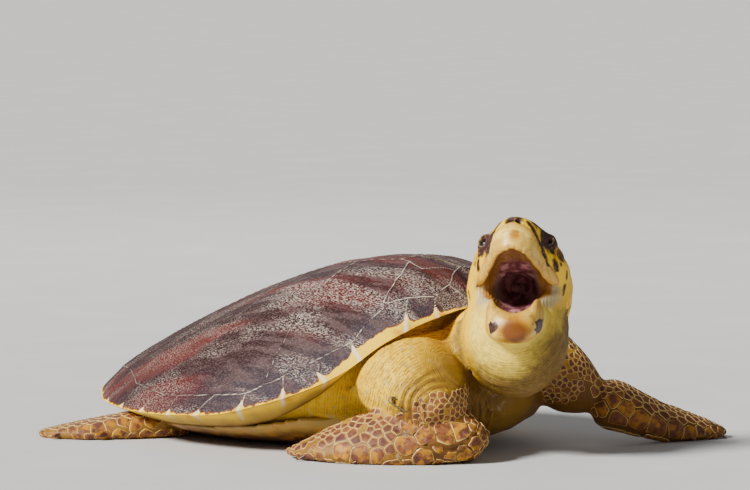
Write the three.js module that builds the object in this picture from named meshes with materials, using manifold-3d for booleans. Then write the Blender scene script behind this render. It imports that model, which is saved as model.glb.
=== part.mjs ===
// A loggerhead sea turtle at life size, resting on its belly with its head raised and its mouth open.
// Millimetres. The body faces -Y, its left side is +X and up is +Z. The floor is z = 0, and the origin
// lies on the floor in the middle of the flat on which the belly rests.
import * as THREE from "three";
import { LoftGeometry } from "three/addons/geometries/LoftGeometry.js";
import { mergeVertices } from "three/addons/utils/BufferGeometryUtils.js";
import Module from "manifold-3d";

const wasm = await Module();
wasm.setup();

// ---------------------------------------------------------------- driving dimensions
const GAP = 0.3; // clear space between pieces that touch
const SHELL_LENGTH = 920; // straight, from the nuchal plate to the rear tip
const SHELL_REAR = 460; // y of the rear tip
const SHELL_WALL = 13; // bone and horn of the carapace over the back
const RIM_INSET = 0.86; // the marginals are solid outside this fraction of the half width
const MEAN_HALF_WIDTH = 250; // turns a small distance into such a fraction
const CARAPACE_COLS = 34;
const CARAPACE_ROWS = 14;

// Sections of the shell are read along its length: 0 is the front edge and 1 the rear tip.
const HALF_WIDTH = [
  [0, 80], [0.05, 168], [0.12, 236], [0.25, 308], [0.42, 348], [0.58, 328], [0.78, 232], [0.92, 98], [1, 6],
];
const RIM_HEIGHT = [[0, 268], [0.05, 238], [0.1, 203], [0.18, 141], [0.29, 98], [0.42, 69], [0.6, 58], [0.85, 54], [1, 53]];
const CREST_HEIGHT = [
  [0, 271], [0.05, 309], [0.12, 339], [0.22, 347], [0.38, 319], [0.56, 261], [0.74, 192], [0.9, 120], [1, 56],
];
// How far the undersides of the marginals fall on their way in to the belly plate.
const RIM_DROP = [[0, 4], [0.1, 14], [0.2, 30], [0.3, 37], [0.42, 26], [0.6, 20], [0.8, 16], [1, 4]];
const ARCH = [[0, 2.6], [0.35, 2.4], [0.7, 1.8], [1, 1.5]]; // how boxy the cross-section is
const ARCH_EDGE = 0.86;

const PLASTRON_FRONT = -385;
const PLASTRON_REAR = 320;
const PLASTRON_WALL = 12;
const PLASTRON_COLS = 22;
const PLASTRON_ROWS = 8;
const PLASTRON_HALF_WIDTH = [
  [0, 40], [0.12, 160], [0.25, 258], [0.42, 297], [0.6, 286], [0.75, 228], [0.88, 130], [1, 16],
];
const PLASTRON_HEIGHT = [[0, 30], [0.16, 9], [0.34, -3], [0.86, -3], [1, 10]];
const PLASTRON_EDGE = [
  [0, 45], [0.14, 68], [0.25, 66], [0.33, 51], [0.42, 43], [0.6, 37], [0.75, 34], [0.88, 23], [1, 18],
];
const PLASTRON_DISH = 3.2; // how flat the belly stays before its sides turn up

// The head looks toward the turtle's right and up. Its frame starts midway between the jaw joints.
const HEAD_YAW = THREE.MathUtils.degToRad(61);
const HEAD_PITCH = THREE.MathUtils.degToRad(43);
const JAW_JOINT = new THREE.Vector3(-92, -570, 303);
const EYE_RADIUS = 16.5;
const EYE_PLACE = [64, 46, 51]; // ahead of the jaw joint, above it, and to each side

const TAG = { length: 40, height: 13, width: 8, wall: 1.2 };
const CLAW = { length: 26, root: 6, tip: 1.6, lift: 8, places: [0.6, 0.84] }; // two on each limb

// ---------------------------------------------------------------- small helpers
const V = (x, y, z) => new THREE.Vector3(x, y, z);
const signedPower = (value, power) => Math.sign(value) * Math.abs(value) ** power;

function curve1d(pairs) {
  // A smooth curve through [position, value] pairs that doesn't overshoot them.
  const last = pairs.length - 1;
  const rise = (i) => (pairs[i + 1][1] - pairs[i][1]) / (pairs[i + 1][0] - pairs[i][0]);
  const slopes = pairs.map((_, i) => {
    if (i === 0) return rise(0);
    if (i === last) return rise(last - 1);
    const product = rise(i - 1) * rise(i);
    return product <= 0 ? 0 : (2 * product) / (rise(i - 1) + rise(i));
  });
  return (at) => {
    const x = THREE.MathUtils.clamp(at, pairs[0][0], pairs[last][0]);
    const k = THREE.MathUtils.clamp(pairs.findIndex((pair) => pair[0] >= x) - 1, 0, last - 1);
    const span = pairs[k + 1][0] - pairs[k][0];
    const u = (x - pairs[k][0]) / span;
    const values = pairs[k][1] * (1 + 2 * u) * (1 - u) ** 2 + pairs[k + 1][1] * u * u * (3 - 2 * u);
    return values + span * (slopes[k] * u * (1 - u) ** 2 - slopes[k + 1] * u * u * (1 - u));
  };
}

const evenly = (values) => curve1d(values.map((value, i) => [i / (values.length - 1), value]));

function solidOf(geometry) {
  const plain = geometry.index ? geometry.toNonIndexed() : geometry;
  const bare = new THREE.BufferGeometry().setAttribute("position", plain.getAttribute("position"));
  const merged = mergeVertices(bare, 1e-3);
  return new wasm.Manifold(new wasm.Mesh({
    numProp: 3,
    vertProperties: merged.attributes.position.array,
    triVerts: new Uint32Array(merged.index.array),
  }));
}

function geometryOf(solid) {
  const mesh = solid.getMesh();
  const geometry = new THREE.BufferGeometry();
  geometry.setAttribute("position", new THREE.BufferAttribute(mesh.vertProperties, 3));
  geometry.setIndex(new THREE.BufferAttribute(mesh.triVerts, 1));
  geometry.computeVertexNormals();
  return geometry;
}

const join = (solids) => solids.reduce((sum, solid) => sum.add(solid));
const cutAway = (solid, cutters) => solid.subtract(join(cutters));

function largestPiece(solid) {
  // A cut can leave slivers beside the piece that is wanted.
  return solid.decompose().reduce((best, piece) => (piece.volume() > best.volume() ? piece : best));
}

function sectionFrame(form, t) {
  // The centre of a swept form at the fraction t of its path, with the directions across, along and up.
  const path = new THREE.CatmullRomCurve3(form.path, false, "centripetal");
  const along = path.getTangent(t);
  const side = new THREE.CatmullRomCurve3(form.across, false, "centripetal").getPoint(t);
  side.addScaledVector(along, -side.dot(along)).normalize();
  return { centre: path.getPoint(t), side, along, up: V(0, 0, 0).crossVectors(side, along) };
}

function sweep(form, grow = 0) {
  // A body of rounded sections along a smooth path. "across" is the direction of a section's width at
  // each path point, and "taper" thins the section toward it, as in the trailing edge of a flipper.
  const { width, depth, power = 2, taper = 0, rows, cols, round = [0.12, 0.12] } = form;
  const [halfWide, halfDeep] = [evenly(width), evenly(depth)];
  const sections = [];
  for (let i = 0; i <= rows; i += 1) {
    const t = THREE.MathUtils.lerp(0.002, 0.998, (1 - Math.cos((Math.PI * i) / rows)) / 2);
    const start = Math.min(1, t / round[0]);
    const end = Math.min(1, (1 - t) / round[1]);
    const size = Math.sqrt(1 - (1 - start) ** 2) * Math.sqrt(1 - (1 - end) ** 2);
    const { centre, side, up } = sectionFrame(form, t);
    const ring = [];
    for (let j = 0; j < cols; j += 1) {
      const angle = (2 * Math.PI * j) / cols;
      const c = signedPower(Math.cos(angle), 2 / power);
      const s = signedPower(Math.sin(angle), 2 / power) * (1 - taper * c);
      const point = centre.clone().addScaledVector(side, c * (halfWide(t) * size + grow));
      ring.push(point.addScaledVector(up, s * (halfDeep(t) * size + grow)));
    }
    sections.push(ring.reverse());
  }
  return solidOf(new LoftGeometry(sections, { capStart: true, capEnd: true }));
}

function warpedSphere(cols, rows, place) {
  // Moves every point of a unit sphere whose poles are up and down.
  const ball = new THREE.SphereGeometry(1, cols, rows).rotateX(Math.PI / 2);
  const position = ball.getAttribute("position");
  const point = V(0, 0, 0);
  for (let i = 0; i < position.count; i += 1) {
    point.fromBufferAttribute(position, i);
    place(point);
    position.setXYZ(i, point.x, point.y, point.z);
  }
  return solidOf(ball);
}

function ellipsoid(centre, radii, cols = 20, rows = 12) {
  return solidOf(new THREE.SphereGeometry(1, cols, rows).scale(...radii).translate(...centre.toArray()));
}

const floorCut = solidOf(new THREE.BoxGeometry(4000, 4000, 500).translate(0, 0, -250));

// ---------------------------------------------------------------- shell
const SHELL_FRONT = SHELL_REAR - SHELL_LENGTH;
const halfWidth = curve1d(HALF_WIDTH);
const rimHeight = curve1d(RIM_HEIGHT);
const crestHeight = curve1d(CREST_HEIGHT);
const arch = curve1d(ARCH);
const rimDrop = curve1d(RIM_DROP);
const plastronHalfWidth = curve1d(PLASTRON_HALF_WIDTH);
const plastronHeight = curve1d(PLASTRON_HEIGHT);
const plastronEdge = curve1d(PLASTRON_EDGE);

function shellTop(t, s) {
  // Height of the outer face of the carapace at the fraction s of its half width.
  const rim = rimHeight(t);
  return rim + (crestHeight(t) - rim) * (1 - Math.abs(s) ** arch(t)) ** ARCH_EDGE;
}

function discPlace(across, along) {
  // Turns a point of the unit disc into a fraction of the length and of the half width.
  const chord = Math.sqrt(Math.max(0, 1 - along * along));
  const s = chord > 1e-4 ? THREE.MathUtils.clamp(across / chord, -1, 1) : 0;
  return [(1 + along) / 2, s];
}

function carapaceSolid(grow) {
  // The outer dome, the sloping undersides of the marginals, and the vault inside.
  const step = Math.PI / CARAPACE_ROWS;
  const inset = RIM_INSET - grow / MEAN_HALF_WIDTH;
  return warpedSphere(CARAPACE_COLS, CARAPACE_ROWS, (p) => {
    const row = Math.round(-Math.asin(THREE.MathUtils.clamp(p.z, -1, 1)) / step);
    const ring = Math.hypot(p.x, p.y);
    const vault = Math.cos(((row - 2) / (CARAPACE_ROWS / 2 - 2)) * (Math.PI / 2));
    const reaches = row < 1 ? ring : row === 1 ? inset : inset * vault;
    const scale = ring > 1e-6 ? reaches / ring : 0;
    const [t, s] = discPlace(p.x * scale, p.y * scale);
    const under = row === 1 ? rimHeight(t) - rimDrop(t) - grow : shellTop(t, s) - SHELL_WALL - grow;
    p.set(s * halfWidth(t), SHELL_FRONT + SHELL_LENGTH * t, row < 1 ? shellTop(t, s) : under);
  });
}

function bellyPlace(y) {
  return THREE.MathUtils.clamp((y - PLASTRON_FRONT) / (PLASTRON_REAR - PLASTRON_FRONT), 0, 1);
}

function plastronSolid(grow) {
  // The belly plate, flat where it rests, with the bridges turned up toward the marginals.
  return warpedSphere(PLASTRON_COLS, PLASTRON_ROWS, (p) => {
    const [t, s] = discPlace(p.x, p.y);
    const keel = plastronHeight(t);
    const dish = keel + (plastronEdge(t) - keel) * Math.abs(s) ** PLASTRON_DISH;
    const inner = PLASTRON_WALL * Math.sqrt(1 - 0.9 * s * s) * Math.min(1, 3 * p.z) + grow;
    const y = PLASTRON_FRONT + (PLASTRON_REAR - PLASTRON_FRONT) * t;
    p.set(s * plastronHalfWidth(t), y, dish + (p.z > 1e-6 ? inner : 0));
  });
}

// ---------------------------------------------------------------- body inside the shell
function bodySolid(grow) {
  // Fills the shell between the walls of the carapace and of the plastron.
  const [front, rear] = [-440, 400];
  const slack = 4 - grow;
  return warpedSphere(22, 8, (p) => {
    const y = front + ((rear - front) * (1 + p.y)) / 2;
    const shellPlace = (y - SHELL_FRONT) / SHELL_LENGTH;
    const belly = bellyPlace(y);
    const reach = discPlace(p.x, p.y)[1] * (RIM_INSET - 0.02);
    const roof = shellTop(shellPlace, reach) - SHELL_WALL - slack;
    const keel = plastronHeight(belly);
    const dish = (plastronEdge(belly) - keel) * Math.abs(reach / RIM_INSET) ** 2.5;
    const floor = keel + PLASTRON_WALL + slack + dish;
    const rise = THREE.MathUtils.clamp(p.z * 2.6, -1, 1) * ((roof - floor) / 2);
    p.set(reach * halfWidth(shellPlace) + Math.sign(reach) * grow, y, (roof + floor) / 2 + rise);
  });
}

const chestSolid = (grow) => ellipsoid(V(-5, -408, 100), [185 + grow, 106 + grow, 82 + grow], 16, 8);
const trunkSolid = (grow) => bodySolid(grow).add(chestSolid(grow));

// ---------------------------------------------------------------- head
const ahead = V(-Math.sin(HEAD_YAW), -Math.cos(HEAD_YAW), 0);
const leftward = V(Math.cos(HEAD_YAW), -Math.sin(HEAD_YAW), 0);
const rightward = leftward.clone().negate();
const upward = V(0, 0, 1);
const snoutward = ahead.clone().multiplyScalar(Math.cos(HEAD_PITCH)).setZ(Math.sin(HEAD_PITCH));
const crownward = ahead.clone().multiplyScalar(-Math.sin(HEAD_PITCH)).setZ(Math.cos(HEAD_PITCH));

// Points ahead of the jaw joint, above it and to its left: tilted with the skull, or level for the jaw.
const inSkull = (f, u, side = 0) =>
  JAW_JOINT.clone().addScaledVector(snoutward, f).addScaledVector(crownward, u).addScaledVector(leftward, side);
const inJaw = (f, u, side = 0) =>
  JAW_JOINT.clone().addScaledVector(ahead, f).addScaledVector(upward, u).addScaledVector(leftward, side);

function headForm(point, sections, options) {
  // Each section gives its place, half width, top and base.
  return {
    path: sections.map(([f, , top, base]) => point(f, (top + base) / 2)),
    across: sections.map(() => leftward),
    width: sections.map(([, halfWide]) => halfWide),
    depth: sections.map(([, , top, base]) => (top - base) / 2),
    ...options,
  };
}

const SKULL = headForm(inSkull, [
  [-112, 66, 46, -52], [-75, 90, 72, -62], [-30, 94, 83, -50], [5, 88, 84, -32], [34, 80, 83, -26],
  [58, 69, 80, -25], [84, 53, 73, -26], [116, 38, 62, -29], [142, 26, 52, -24],
], { power: 2.15, rows: 11, cols: 20, round: [0.16, 0.1] });
const JAW = headForm(inJaw, [
  [-40, 60, -6, -100], [0, 62, -4, -96], [40, 56, -6, -92], [75, 50, -16, -90], [100, 40, -24, -84],
  [115, 28, -28, -72],
], { power: 2.3, rows: 9, cols: 14, round: [0.2, 0.12] });
const PALATE = headForm(inSkull, [
  [-30, 46, 20, -30], [8, 58, 22, -30], [45, 50, 18, -30], [80, 38, 14, -30], [110, 27, 8, -30], [133, 14, -2, -30],
], { rows: 6, cols: 10, round: [0.2, 0.1] });
const GULLET = headForm(inJaw, [
  [-80, 14, 8, -16], [-50, 28, 22, -28], [-10, 40, 36, -34], [30, 42, 36, -34], [70, 36, 30, -30],
], { rows: 5, cols: 10, round: [0.25, 0.05] });

function headPrism(points, half) {
  // A slab across the head, its outline given by points of the middle plane and "half" its half width.
  const corners = points.map((q) => new THREE.Vector2(q.clone().sub(JAW_JOINT).dot(ahead), q.z - JAW_JOINT.z));
  const slab = new THREE.ExtrudeGeometry(new THREE.Shape(corners), { depth: 2 * half, bevelEnabled: false });
  const frame = new THREE.Matrix4().makeBasis(ahead, upward, rightward).setPosition(JAW_JOINT);
  return solidOf(slab.translate(0, 0, -half).applyMatrix4(frame));
}

function gape(corner, half) {
  // The wedge between the jaws, from a rounded corner that lies "corner" ahead of the joint.
  const rounded = [inJaw(corner - 6, 8), inJaw(corner - 9, 2), inJaw(corner - 5, -5)];
  const lowerRim = [inJaw(corner + 4, -9), inJaw(112, -29), inJaw(190, -46)];
  return headPrism([...rounded, ...lowerRim, inSkull(230, -18), inSkull(corner + 12, -9)], half);
}

function mouthSolid() {
  // What the open mouth leaves empty: the gape, the hollows of both jaws and the gullet.
  const cornerPlace = 18;
  const insideHalf = 44;
  const floor = ellipsoid(inJaw(50, -20), [37, 37, 27], 12, 8);
  return join([gape(cornerPlace, 150), gape(-2, insideHalf), sweep(PALATE), sweep(GULLET), floor]);
}

// The horn of the beaks, as slabs across each jaw that begin "inset" further in.
const upperHorn = (inset) => headPrism([
  inSkull(12 - inset, -60), inSkull(12 - inset, -4 + inset), inSkull(60, 3 + inset), inSkull(104, 16 + inset),
  inSkull(126, 34 + inset), inSkull(170, 50 + inset), inSkull(170, -60),
], 150);
const lowerHorn = (inset) => headPrism([
  inJaw(38 - inset, 20), inJaw(38 - inset, -24 - inset), inJaw(66 - inset, -58 - inset),
  inJaw(96, -80 - inset), inJaw(150, -92 - inset), inJaw(150, 20),
], 150);

const eyePlace = (side) => inSkull(EYE_PLACE[0], EYE_PLACE[1], side * EYE_PLACE[2]);
const eyeSolid = (side, grow) => ellipsoid(eyePlace(side), Array(3).fill(EYE_RADIUS + grow), 12, 8);
const tongueSolid = (grow) => ellipsoid(inJaw(34, -41), [25 + grow, 25 + grow, 12 + grow], 12, 6);

// ---------------------------------------------------------------- neck, limbs and tail
const NECK = {
  path: [V(0, -300, 160), V(-12, -410, 168), V(-40, -490, 195), inSkull(-55, -5)],
  across: [V(1, 0, 0), V(1, 0, 0), V(0.8, -0.6, 0), leftward],
  width: [100, 98, 94, 88],
  depth: [88, 86, 84, 76],
  rows: 6, cols: 16, round: [0.1, 0.2],
};
const throatSolid = (grow) => ellipsoid(inJaw(-24, -82, -5), [100 + grow, 92 + grow, 116 + grow], 16, 10);

const ARM_RIGHT = {
  path: [V(-90, -300, 150), V(-160, -385, 138), V(-186, -455, 108), V(-178, -505, 66)],
  across: [V(-0.7, 0.7, 0), V(-0.7, 0.7, 0), V(-0.75, 0.6, 0), V(-0.85, 0.4, 0)],
  width: [80, 104, 80, 44],
  depth: [70, 84, 66, 40],
  rows: 7, cols: 14, round: [0.2, 0.25],
};
const FLIPPER_RIGHT = {
  path: [
    V(-137, -504, 68), V(-169, -504, 52), V(-235, -446, 50), V(-284, -368, 43), V(-306, -288, 28), V(-309, -215, 9),
  ],
  across: [
    V(0.3, 0.3, 0.9), V(0.35, 0.3, 0.88), V(0.45, 0.2, 0.85), V(0.5, 0.1, 0.75), V(0.65, 0.1, 0.5), V(0.8, 0.1, 0.2),
  ],
  width: [44, 56, 60, 52, 36, 10],
  depth: [34, 38, 27, 18, 12, 5],
  taper: 0.45, rows: 10, cols: 12, round: [0.15, 0.08],
};
const ARM_LEFT = {
  path: [V(80, -300, 168), V(114, -398, 176), V(146, -476, 137), V(202, -564, 82)],
  across: [V(0.7, 0.7, 0), V(0.7, 0.6, 0.2), V(0.5, 0.4, 0.6), V(0.3, 0.5, 0.8)],
  width: [80, 92, 70, 42],
  depth: [74, 86, 68, 36],
  rows: 7, cols: 14, round: [0.2, 0.3],
};
const FLIPPER_LEFT = {
  path: [
    V(190, -545, 96), V(212, -578, 76), V(252, -622, 47), V(320, -657, 29), V(368, -684, 18), V(400, -704, 9),
  ],
  across: [
    V(0.3, 0.5, 0.8), V(0.3, 0.5, 0.8), V(0.25, 0.55, 0.8), V(0.1, 0.75, 0.6), V(0.1, 0.85, 0.45), V(0.2, 0.9, 0.2),
  ],
  width: [36, 46, 47, 41, 30, 10],
  depth: [30, 34, 27, 18, 12, 5],
  taper: 0.45, rows: 10, cols: 12, round: [0.15, 0.08],
};

function hindForm(side, knee, wrist, tip) {
  return {
    path: [V(side * 150, 110, 42), V(side * knee[0], knee[1], 30), V(side * wrist[0], wrist[1], 17), V(side * tip[0], tip[1], 6)],
    across: [V(side * -0.4, 0.6, 0.3), V(side * -0.5, 0.6, 0.25), V(side * -0.7, 0.6, 0.15), V(side * -0.7, 0.6, 0.05)],
    width: [46, 46, 50, 18],
    depth: [34, 25, 15, 6],
    taper: 0.35, rows: 8, cols: 10, round: [0.2, 0.12],
  };
}
const HIND_RIGHT = hindForm(-1, [222, 152], [306, 238], [360, 326]);
const HIND_LEFT = hindForm(1, [222, 172], [296, 270], [336, 356]);

const TAIL = {
  path: [V(0, 290, 40), V(0, 365, 26), V(4, 430, 12)],
  across: [V(1, 0, 0), V(1, 0, 0), V(1, 0, 0)],
  width: [34, 22, 7],
  depth: [28, 17, 6],
  rows: 5, cols: 10, round: [0.3, 0.15],
};

function clawSolid(limb, t, grow = 0) {
  // A claw rooted in the leading edge of a limb, curving toward the tip.
  const { centre, side, along } = sectionFrame(limb, t);
  const edge = centre.addScaledVector(side, -evenly(limb.width)(t));
  edge.setZ(Math.max(edge.z, CLAW.lift));
  const at = (out, back) => edge.clone().addScaledVector(side, -out).addScaledVector(along, back);
  const { length, root, tip } = CLAW;
  return sweep({
    path: [at(-0.5 * length, -0.4 * length), at(0.02 * length, 0.1 * length), at(0.16 * length, 0.62 * length)],
    across: [side, side, side],
    width: [root, root * 0.85, tip],
    depth: [root * 0.8, root * 0.7, tip],
    rows: 3, cols: 6, round: [0.3, 0.1],
  }, grow);
}

// ---------------------------------------------------------------- flipper tag
function tagSolid(grow) {
  // A folded metal strip: a long flat loop that grips the trailing edge of the right front flipper.
  const loop = (length, height) => {
    const r = height / 2;
    const outline = new THREE.Shape();
    outline.absarc(length / 2 - r, 0, r, -Math.PI / 2, Math.PI / 2);
    outline.absarc(-length / 2 + r, 0, r, Math.PI / 2, (3 * Math.PI) / 2);
    return outline;
  };
  const strip = loop(TAG.length + 2 * grow, TAG.height + 2 * grow);
  strip.holes.push(loop(TAG.length - 2 * (TAG.wall + grow), TAG.height - 2 * (TAG.wall + grow)));
  const depth = TAG.width + 2 * grow;
  const ring = new THREE.ExtrudeGeometry(strip, { depth, bevelEnabled: false, curveSegments: 4 });
  const long = V(0.5, -0.68, -0.5).normalize();
  const hole = V(-0.74, -0.6, 0.3).addScaledVector(long, -V(-0.74, -0.6, 0.3).dot(long)).normalize();
  const high = V(0, 0, 0).crossVectors(hole, long);
  const frame = new THREE.Matrix4().makeBasis(long, high, hole).setPosition(-262.5, -434.3, 106.8);
  return solidOf(ring.translate(0, 0, -depth / 2).applyMatrix4(frame));
}

// ---------------------------------------------------------------- fitting the pieces together
const carapaceRoom = carapaceSolid(GAP);
const mouth = mouthSolid();
const carapace = carapaceSolid(0);
const plastron = cutAway(plastronSolid(0), [floorCut, carapaceRoom]);
const shellRoom = carapaceRoom.add(plastronSolid(GAP));
const trunk = cutAway(trunkSolid(0), [shellRoom, floorCut]);

const skull = sweep(SKULL).subtract(mouth);
const beakUpper = largestPiece(skull.intersect(upperHorn(0)));
const head = largestPiece(cutAway(skull, [upperHorn(GAP), eyeSolid(-1, GAP), eyeSolid(1, GAP), tongueSolid(GAP)]));
const jaw = cutAway(sweep(JAW), [mouth, sweep(SKULL, GAP)]);
const beakLower = largestPiece(cutAway(jaw.intersect(lowerHorn(0)), [tongueSolid(GAP)]));
const tongue = tongueSolid(0);
const lowerJaw = largestPiece(cutAway(jaw, [lowerHorn(GAP), tongueSolid(GAP)]));

const trunkRoom = trunkSolid(GAP).add(shellRoom);
const armRight = largestPiece(cutAway(sweep(ARM_RIGHT), [trunkRoom, floorCut, tagSolid(GAP)]));
const armLeft = largestPiece(cutAway(sweep(ARM_LEFT), [trunkRoom, floorCut]));
const clawRoom = (limb) => join(CLAW.places.map((t) => clawSolid(limb, t, GAP)));
const limbPiece = (limb, rooms) =>
  largestPiece(cutAway(sweep(limb), [trunkRoom, floorCut, clawRoom(limb), ...rooms]));
const flipperRight = limbPiece(FLIPPER_RIGHT, [sweep(ARM_RIGHT, GAP), tagSolid(GAP)]);
const flipperLeft = limbPiece(FLIPPER_LEFT, [sweep(ARM_LEFT, GAP)]);
const hindRight = limbPiece(HIND_RIGHT, []);
const hindLeft = limbPiece(HIND_LEFT, []);
const tail = largestPiece(cutAway(sweep(TAIL), [trunkRoom, floorCut]));
const neck = largestPiece(cutAway(sweep(NECK).add(throatSolid(0)), [
  mouth, sweep(SKULL, GAP), sweep(JAW, GAP), tongueSolid(GAP), trunkRoom, sweep(ARM_RIGHT, GAP), sweep(ARM_LEFT, GAP),
]));

// ---------------------------------------------------------------- the model
const COLORS = {
  horn: "#e2cf95", shell: "#6f4b45", belly: "#c39a4c", skin: "#d2b46a", scales: "#9a6f45", eye: "#1c1214",
  flesh: "#5a2c33", claw: "#3a2a20", metal: "#8b8a86",
};
const group = new THREE.Group();

function place(name, solid, color, roughness, metalness = 0) {
  const material = new THREE.MeshStandardMaterial({ color: COLORS[color], roughness, metalness });
  const mesh = new THREE.Mesh(geometryOf(solid), material);
  mesh.name = name;
  group.add(mesh);
}

place("carapace", carapace, "shell", 0.5);
place("plastron", plastron, "belly", 0.5);
place("trunk", trunk, "skin", 0.7);
place("neck", neck, "skin", 0.7);
place("head", head, "skin", 0.6);
place("lower_jaw", lowerJaw, "skin", 0.6);
place("beak_upper", beakUpper, "horn", 0.4);
place("beak_lower", beakLower, "horn", 0.4);
place("tongue", tongue, "flesh", 0.4);
place("eye_right", eyeSolid(-1, 0), "eye", 0.1);
place("eye_left", eyeSolid(1, 0), "eye", 0.1);
place("arm_right", armRight, "skin", 0.7);
place("arm_left", armLeft, "scales", 0.7);
place("flipper_front_right", flipperRight, "scales", 0.6);
place("flipper_front_left", flipperLeft, "scales", 0.6);
place("flipper_hind_right", hindRight, "scales", 0.6);
place("flipper_hind_left", hindLeft, "scales", 0.6);
place("tail", tail, "skin", 0.7);
place("flipper_tag", tagSolid(0), "metal", 0.35, 1);
const CLAWED = { front_right: FLIPPER_RIGHT, front_left: FLIPPER_LEFT, hind_right: HIND_RIGHT, hind_left: HIND_LEFT };
for (const [where, limb] of Object.entries(CLAWED)) {
  CLAW.places.forEach((t, i) => place(`claw_${where}_${i + 1}`, clawSolid(limb, t).subtract(floorCut), "claw", 0.4));
}

export default group;
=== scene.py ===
import math

import bmesh
import bpy
import numpy as np
from bpy.props import FloatProperty, FloatVectorProperty, PointerProperty
from mathutils import Matrix, Vector
from mathutils.bvhtree import BVHTree
from mathutils.kdtree import KDTree


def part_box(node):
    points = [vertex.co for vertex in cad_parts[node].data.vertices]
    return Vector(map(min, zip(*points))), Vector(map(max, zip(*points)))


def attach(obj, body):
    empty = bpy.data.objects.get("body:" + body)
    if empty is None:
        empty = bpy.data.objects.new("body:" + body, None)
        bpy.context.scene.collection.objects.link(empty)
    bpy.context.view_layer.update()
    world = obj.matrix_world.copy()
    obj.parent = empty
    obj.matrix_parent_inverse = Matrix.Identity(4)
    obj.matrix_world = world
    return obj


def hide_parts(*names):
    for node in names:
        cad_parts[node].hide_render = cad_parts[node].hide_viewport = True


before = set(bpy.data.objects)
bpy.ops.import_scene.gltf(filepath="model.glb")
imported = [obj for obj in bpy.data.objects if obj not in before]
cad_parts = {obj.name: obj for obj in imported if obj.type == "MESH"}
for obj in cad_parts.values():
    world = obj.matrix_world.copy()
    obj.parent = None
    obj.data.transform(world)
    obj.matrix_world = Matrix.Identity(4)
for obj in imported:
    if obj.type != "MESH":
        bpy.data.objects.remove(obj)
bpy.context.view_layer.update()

bl_info = {
    "name": "Loggerhead turtle",
    "version": (1, 0, 0),
    "blender": (4, 5, 0),
    "location": "3D View > Sidebar > Turtle",
    "description": "Builds the skin, shell, horn and scales of a life-size turtle over its fixed solids",
    "category": "Object",
}

# ---------------------------------------------------------------- places taken from the solids
MM = 0.001
FLESH = [
    "trunk", "neck", "head", "lower_jaw", "arm_right", "arm_left", "flipper_front_right",
    "flipper_front_left", "flipper_hind_right", "flipper_hind_left", "tail",
]
UNDER_HORN = ["beak_upper", "beak_lower", "tongue"]  # the skin runs on beneath these
SIDES = {"right": -1, "left": 1}


def middle(node):
    """The middle of a solid's box."""
    low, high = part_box(node)
    return np.array((low + high) / 2)


def unit(vector):
    """The vector at length one."""
    return np.array(vector, float) / np.linalg.norm(vector)


# The head has a frame of its own. It starts midway between the jaw joints, and is tilted with the skull.
UP = np.array((0.0, 0.0, 1.0))
HEAD_PITCH = math.radians(43)
EYES = {side: middle("eye_" + side) for side in SIDES}
EYE_RADIUS = (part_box("eye_right")[1].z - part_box("eye_right")[0].z) / 2
EYE_AHEAD, EYE_ABOVE = 0.064, 0.046  # from the jaw joints, along the skull and above it
LEFTWARD = unit(EYES["left"] - EYES["right"])
AHEAD = np.cross(LEFTWARD, UP)
SNOUTWARD = AHEAD * math.cos(HEAD_PITCH) + UP * math.sin(HEAD_PITCH)
CROWNWARD = UP * math.cos(HEAD_PITCH) - AHEAD * math.sin(HEAD_PITCH)
JAW_JOINT = (EYES["left"] + EYES["right"]) / 2 - SNOUTWARD * EYE_AHEAD - CROWNWARD * EYE_ABOVE


def in_skull(points):
    """How far points lie ahead of the jaw joints, above them and to their left, along the skull, in mm."""
    away = (points - JAW_JOINT) / MM
    return away @ SNOUTWARD, away @ CROWNWARD, away @ LEFTWARD


def in_jaw(points):
    """The same three distances along the lower jaw, which is level."""
    away = (points - JAW_JOINT) / MM
    return away @ AHEAD, away @ UP, away @ LEFTWARD


def skull_point(f, u, side):
    """The place of a point that is given along the skull, in mm."""
    return JAW_JOINT + (SNOUTWARD * f + CROWNWARD * u + LEFTWARD * side) * MM


def jaw_point(f, u, side):
    """The place of a point that is given along the lower jaw, in mm."""
    return JAW_JOINT + (AHEAD * f + UP * u + LEFTWARD * side) * MM


# ---------------------------------------------------------------- arithmetic on arrays of points
def ease(low, high, value):
    """0 below low, 1 above high and a smooth rise between them. Low may be the larger."""
    x = np.clip((value - low) / (high - low), 0, 1)
    return x * x * (3 - 2 * x)


def bump(distance, reach):
    """1 at distance 0, falling smoothly to 0 at reach."""
    return 1 - ease(0, reach, np.abs(distance))


def smooth_curve(places, values):
    """A smooth function through the values that doesn't overshoot them."""
    x, y = np.array(places, float), np.array(values, float)
    rise = np.diff(y) / np.diff(x)
    product = rise[:-1] * rise[1:]
    total = np.where(product > 0, rise[:-1] + rise[1:], 1.0)
    slope = np.concatenate(([rise[0]], np.where(product > 0, 2 * product / total, 0.0), [rise[-1]]))

    def at(place):
        """The curve's value at a place."""
        p = np.clip(place, x[0], x[-1])
        k = np.clip(np.searchsorted(x, p) - 1, 0, len(x) - 2)
        span = x[k + 1] - x[k]
        u = (p - x[k]) / span
        steady = y[k] * (1 + 2 * u) * (1 - u) ** 2 + y[k + 1] * u * u * (3 - 2 * u)
        return steady + span * (slope[k] * u * (1 - u) ** 2 - slope[k + 1] * u * u * (1 - u))

    return at


def chance(cells, seed):
    """A repeatable number from 0 to 1 for each cell of a lattice."""
    mixed = cells @ np.array([73856093, 19349663, 83492791]) + seed * 2654435761
    mixed = (mixed ^ (mixed >> 13)) * 1274126177
    return ((mixed ^ (mixed >> 16)) & 0xFFFF) / 0xFFFF


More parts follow.
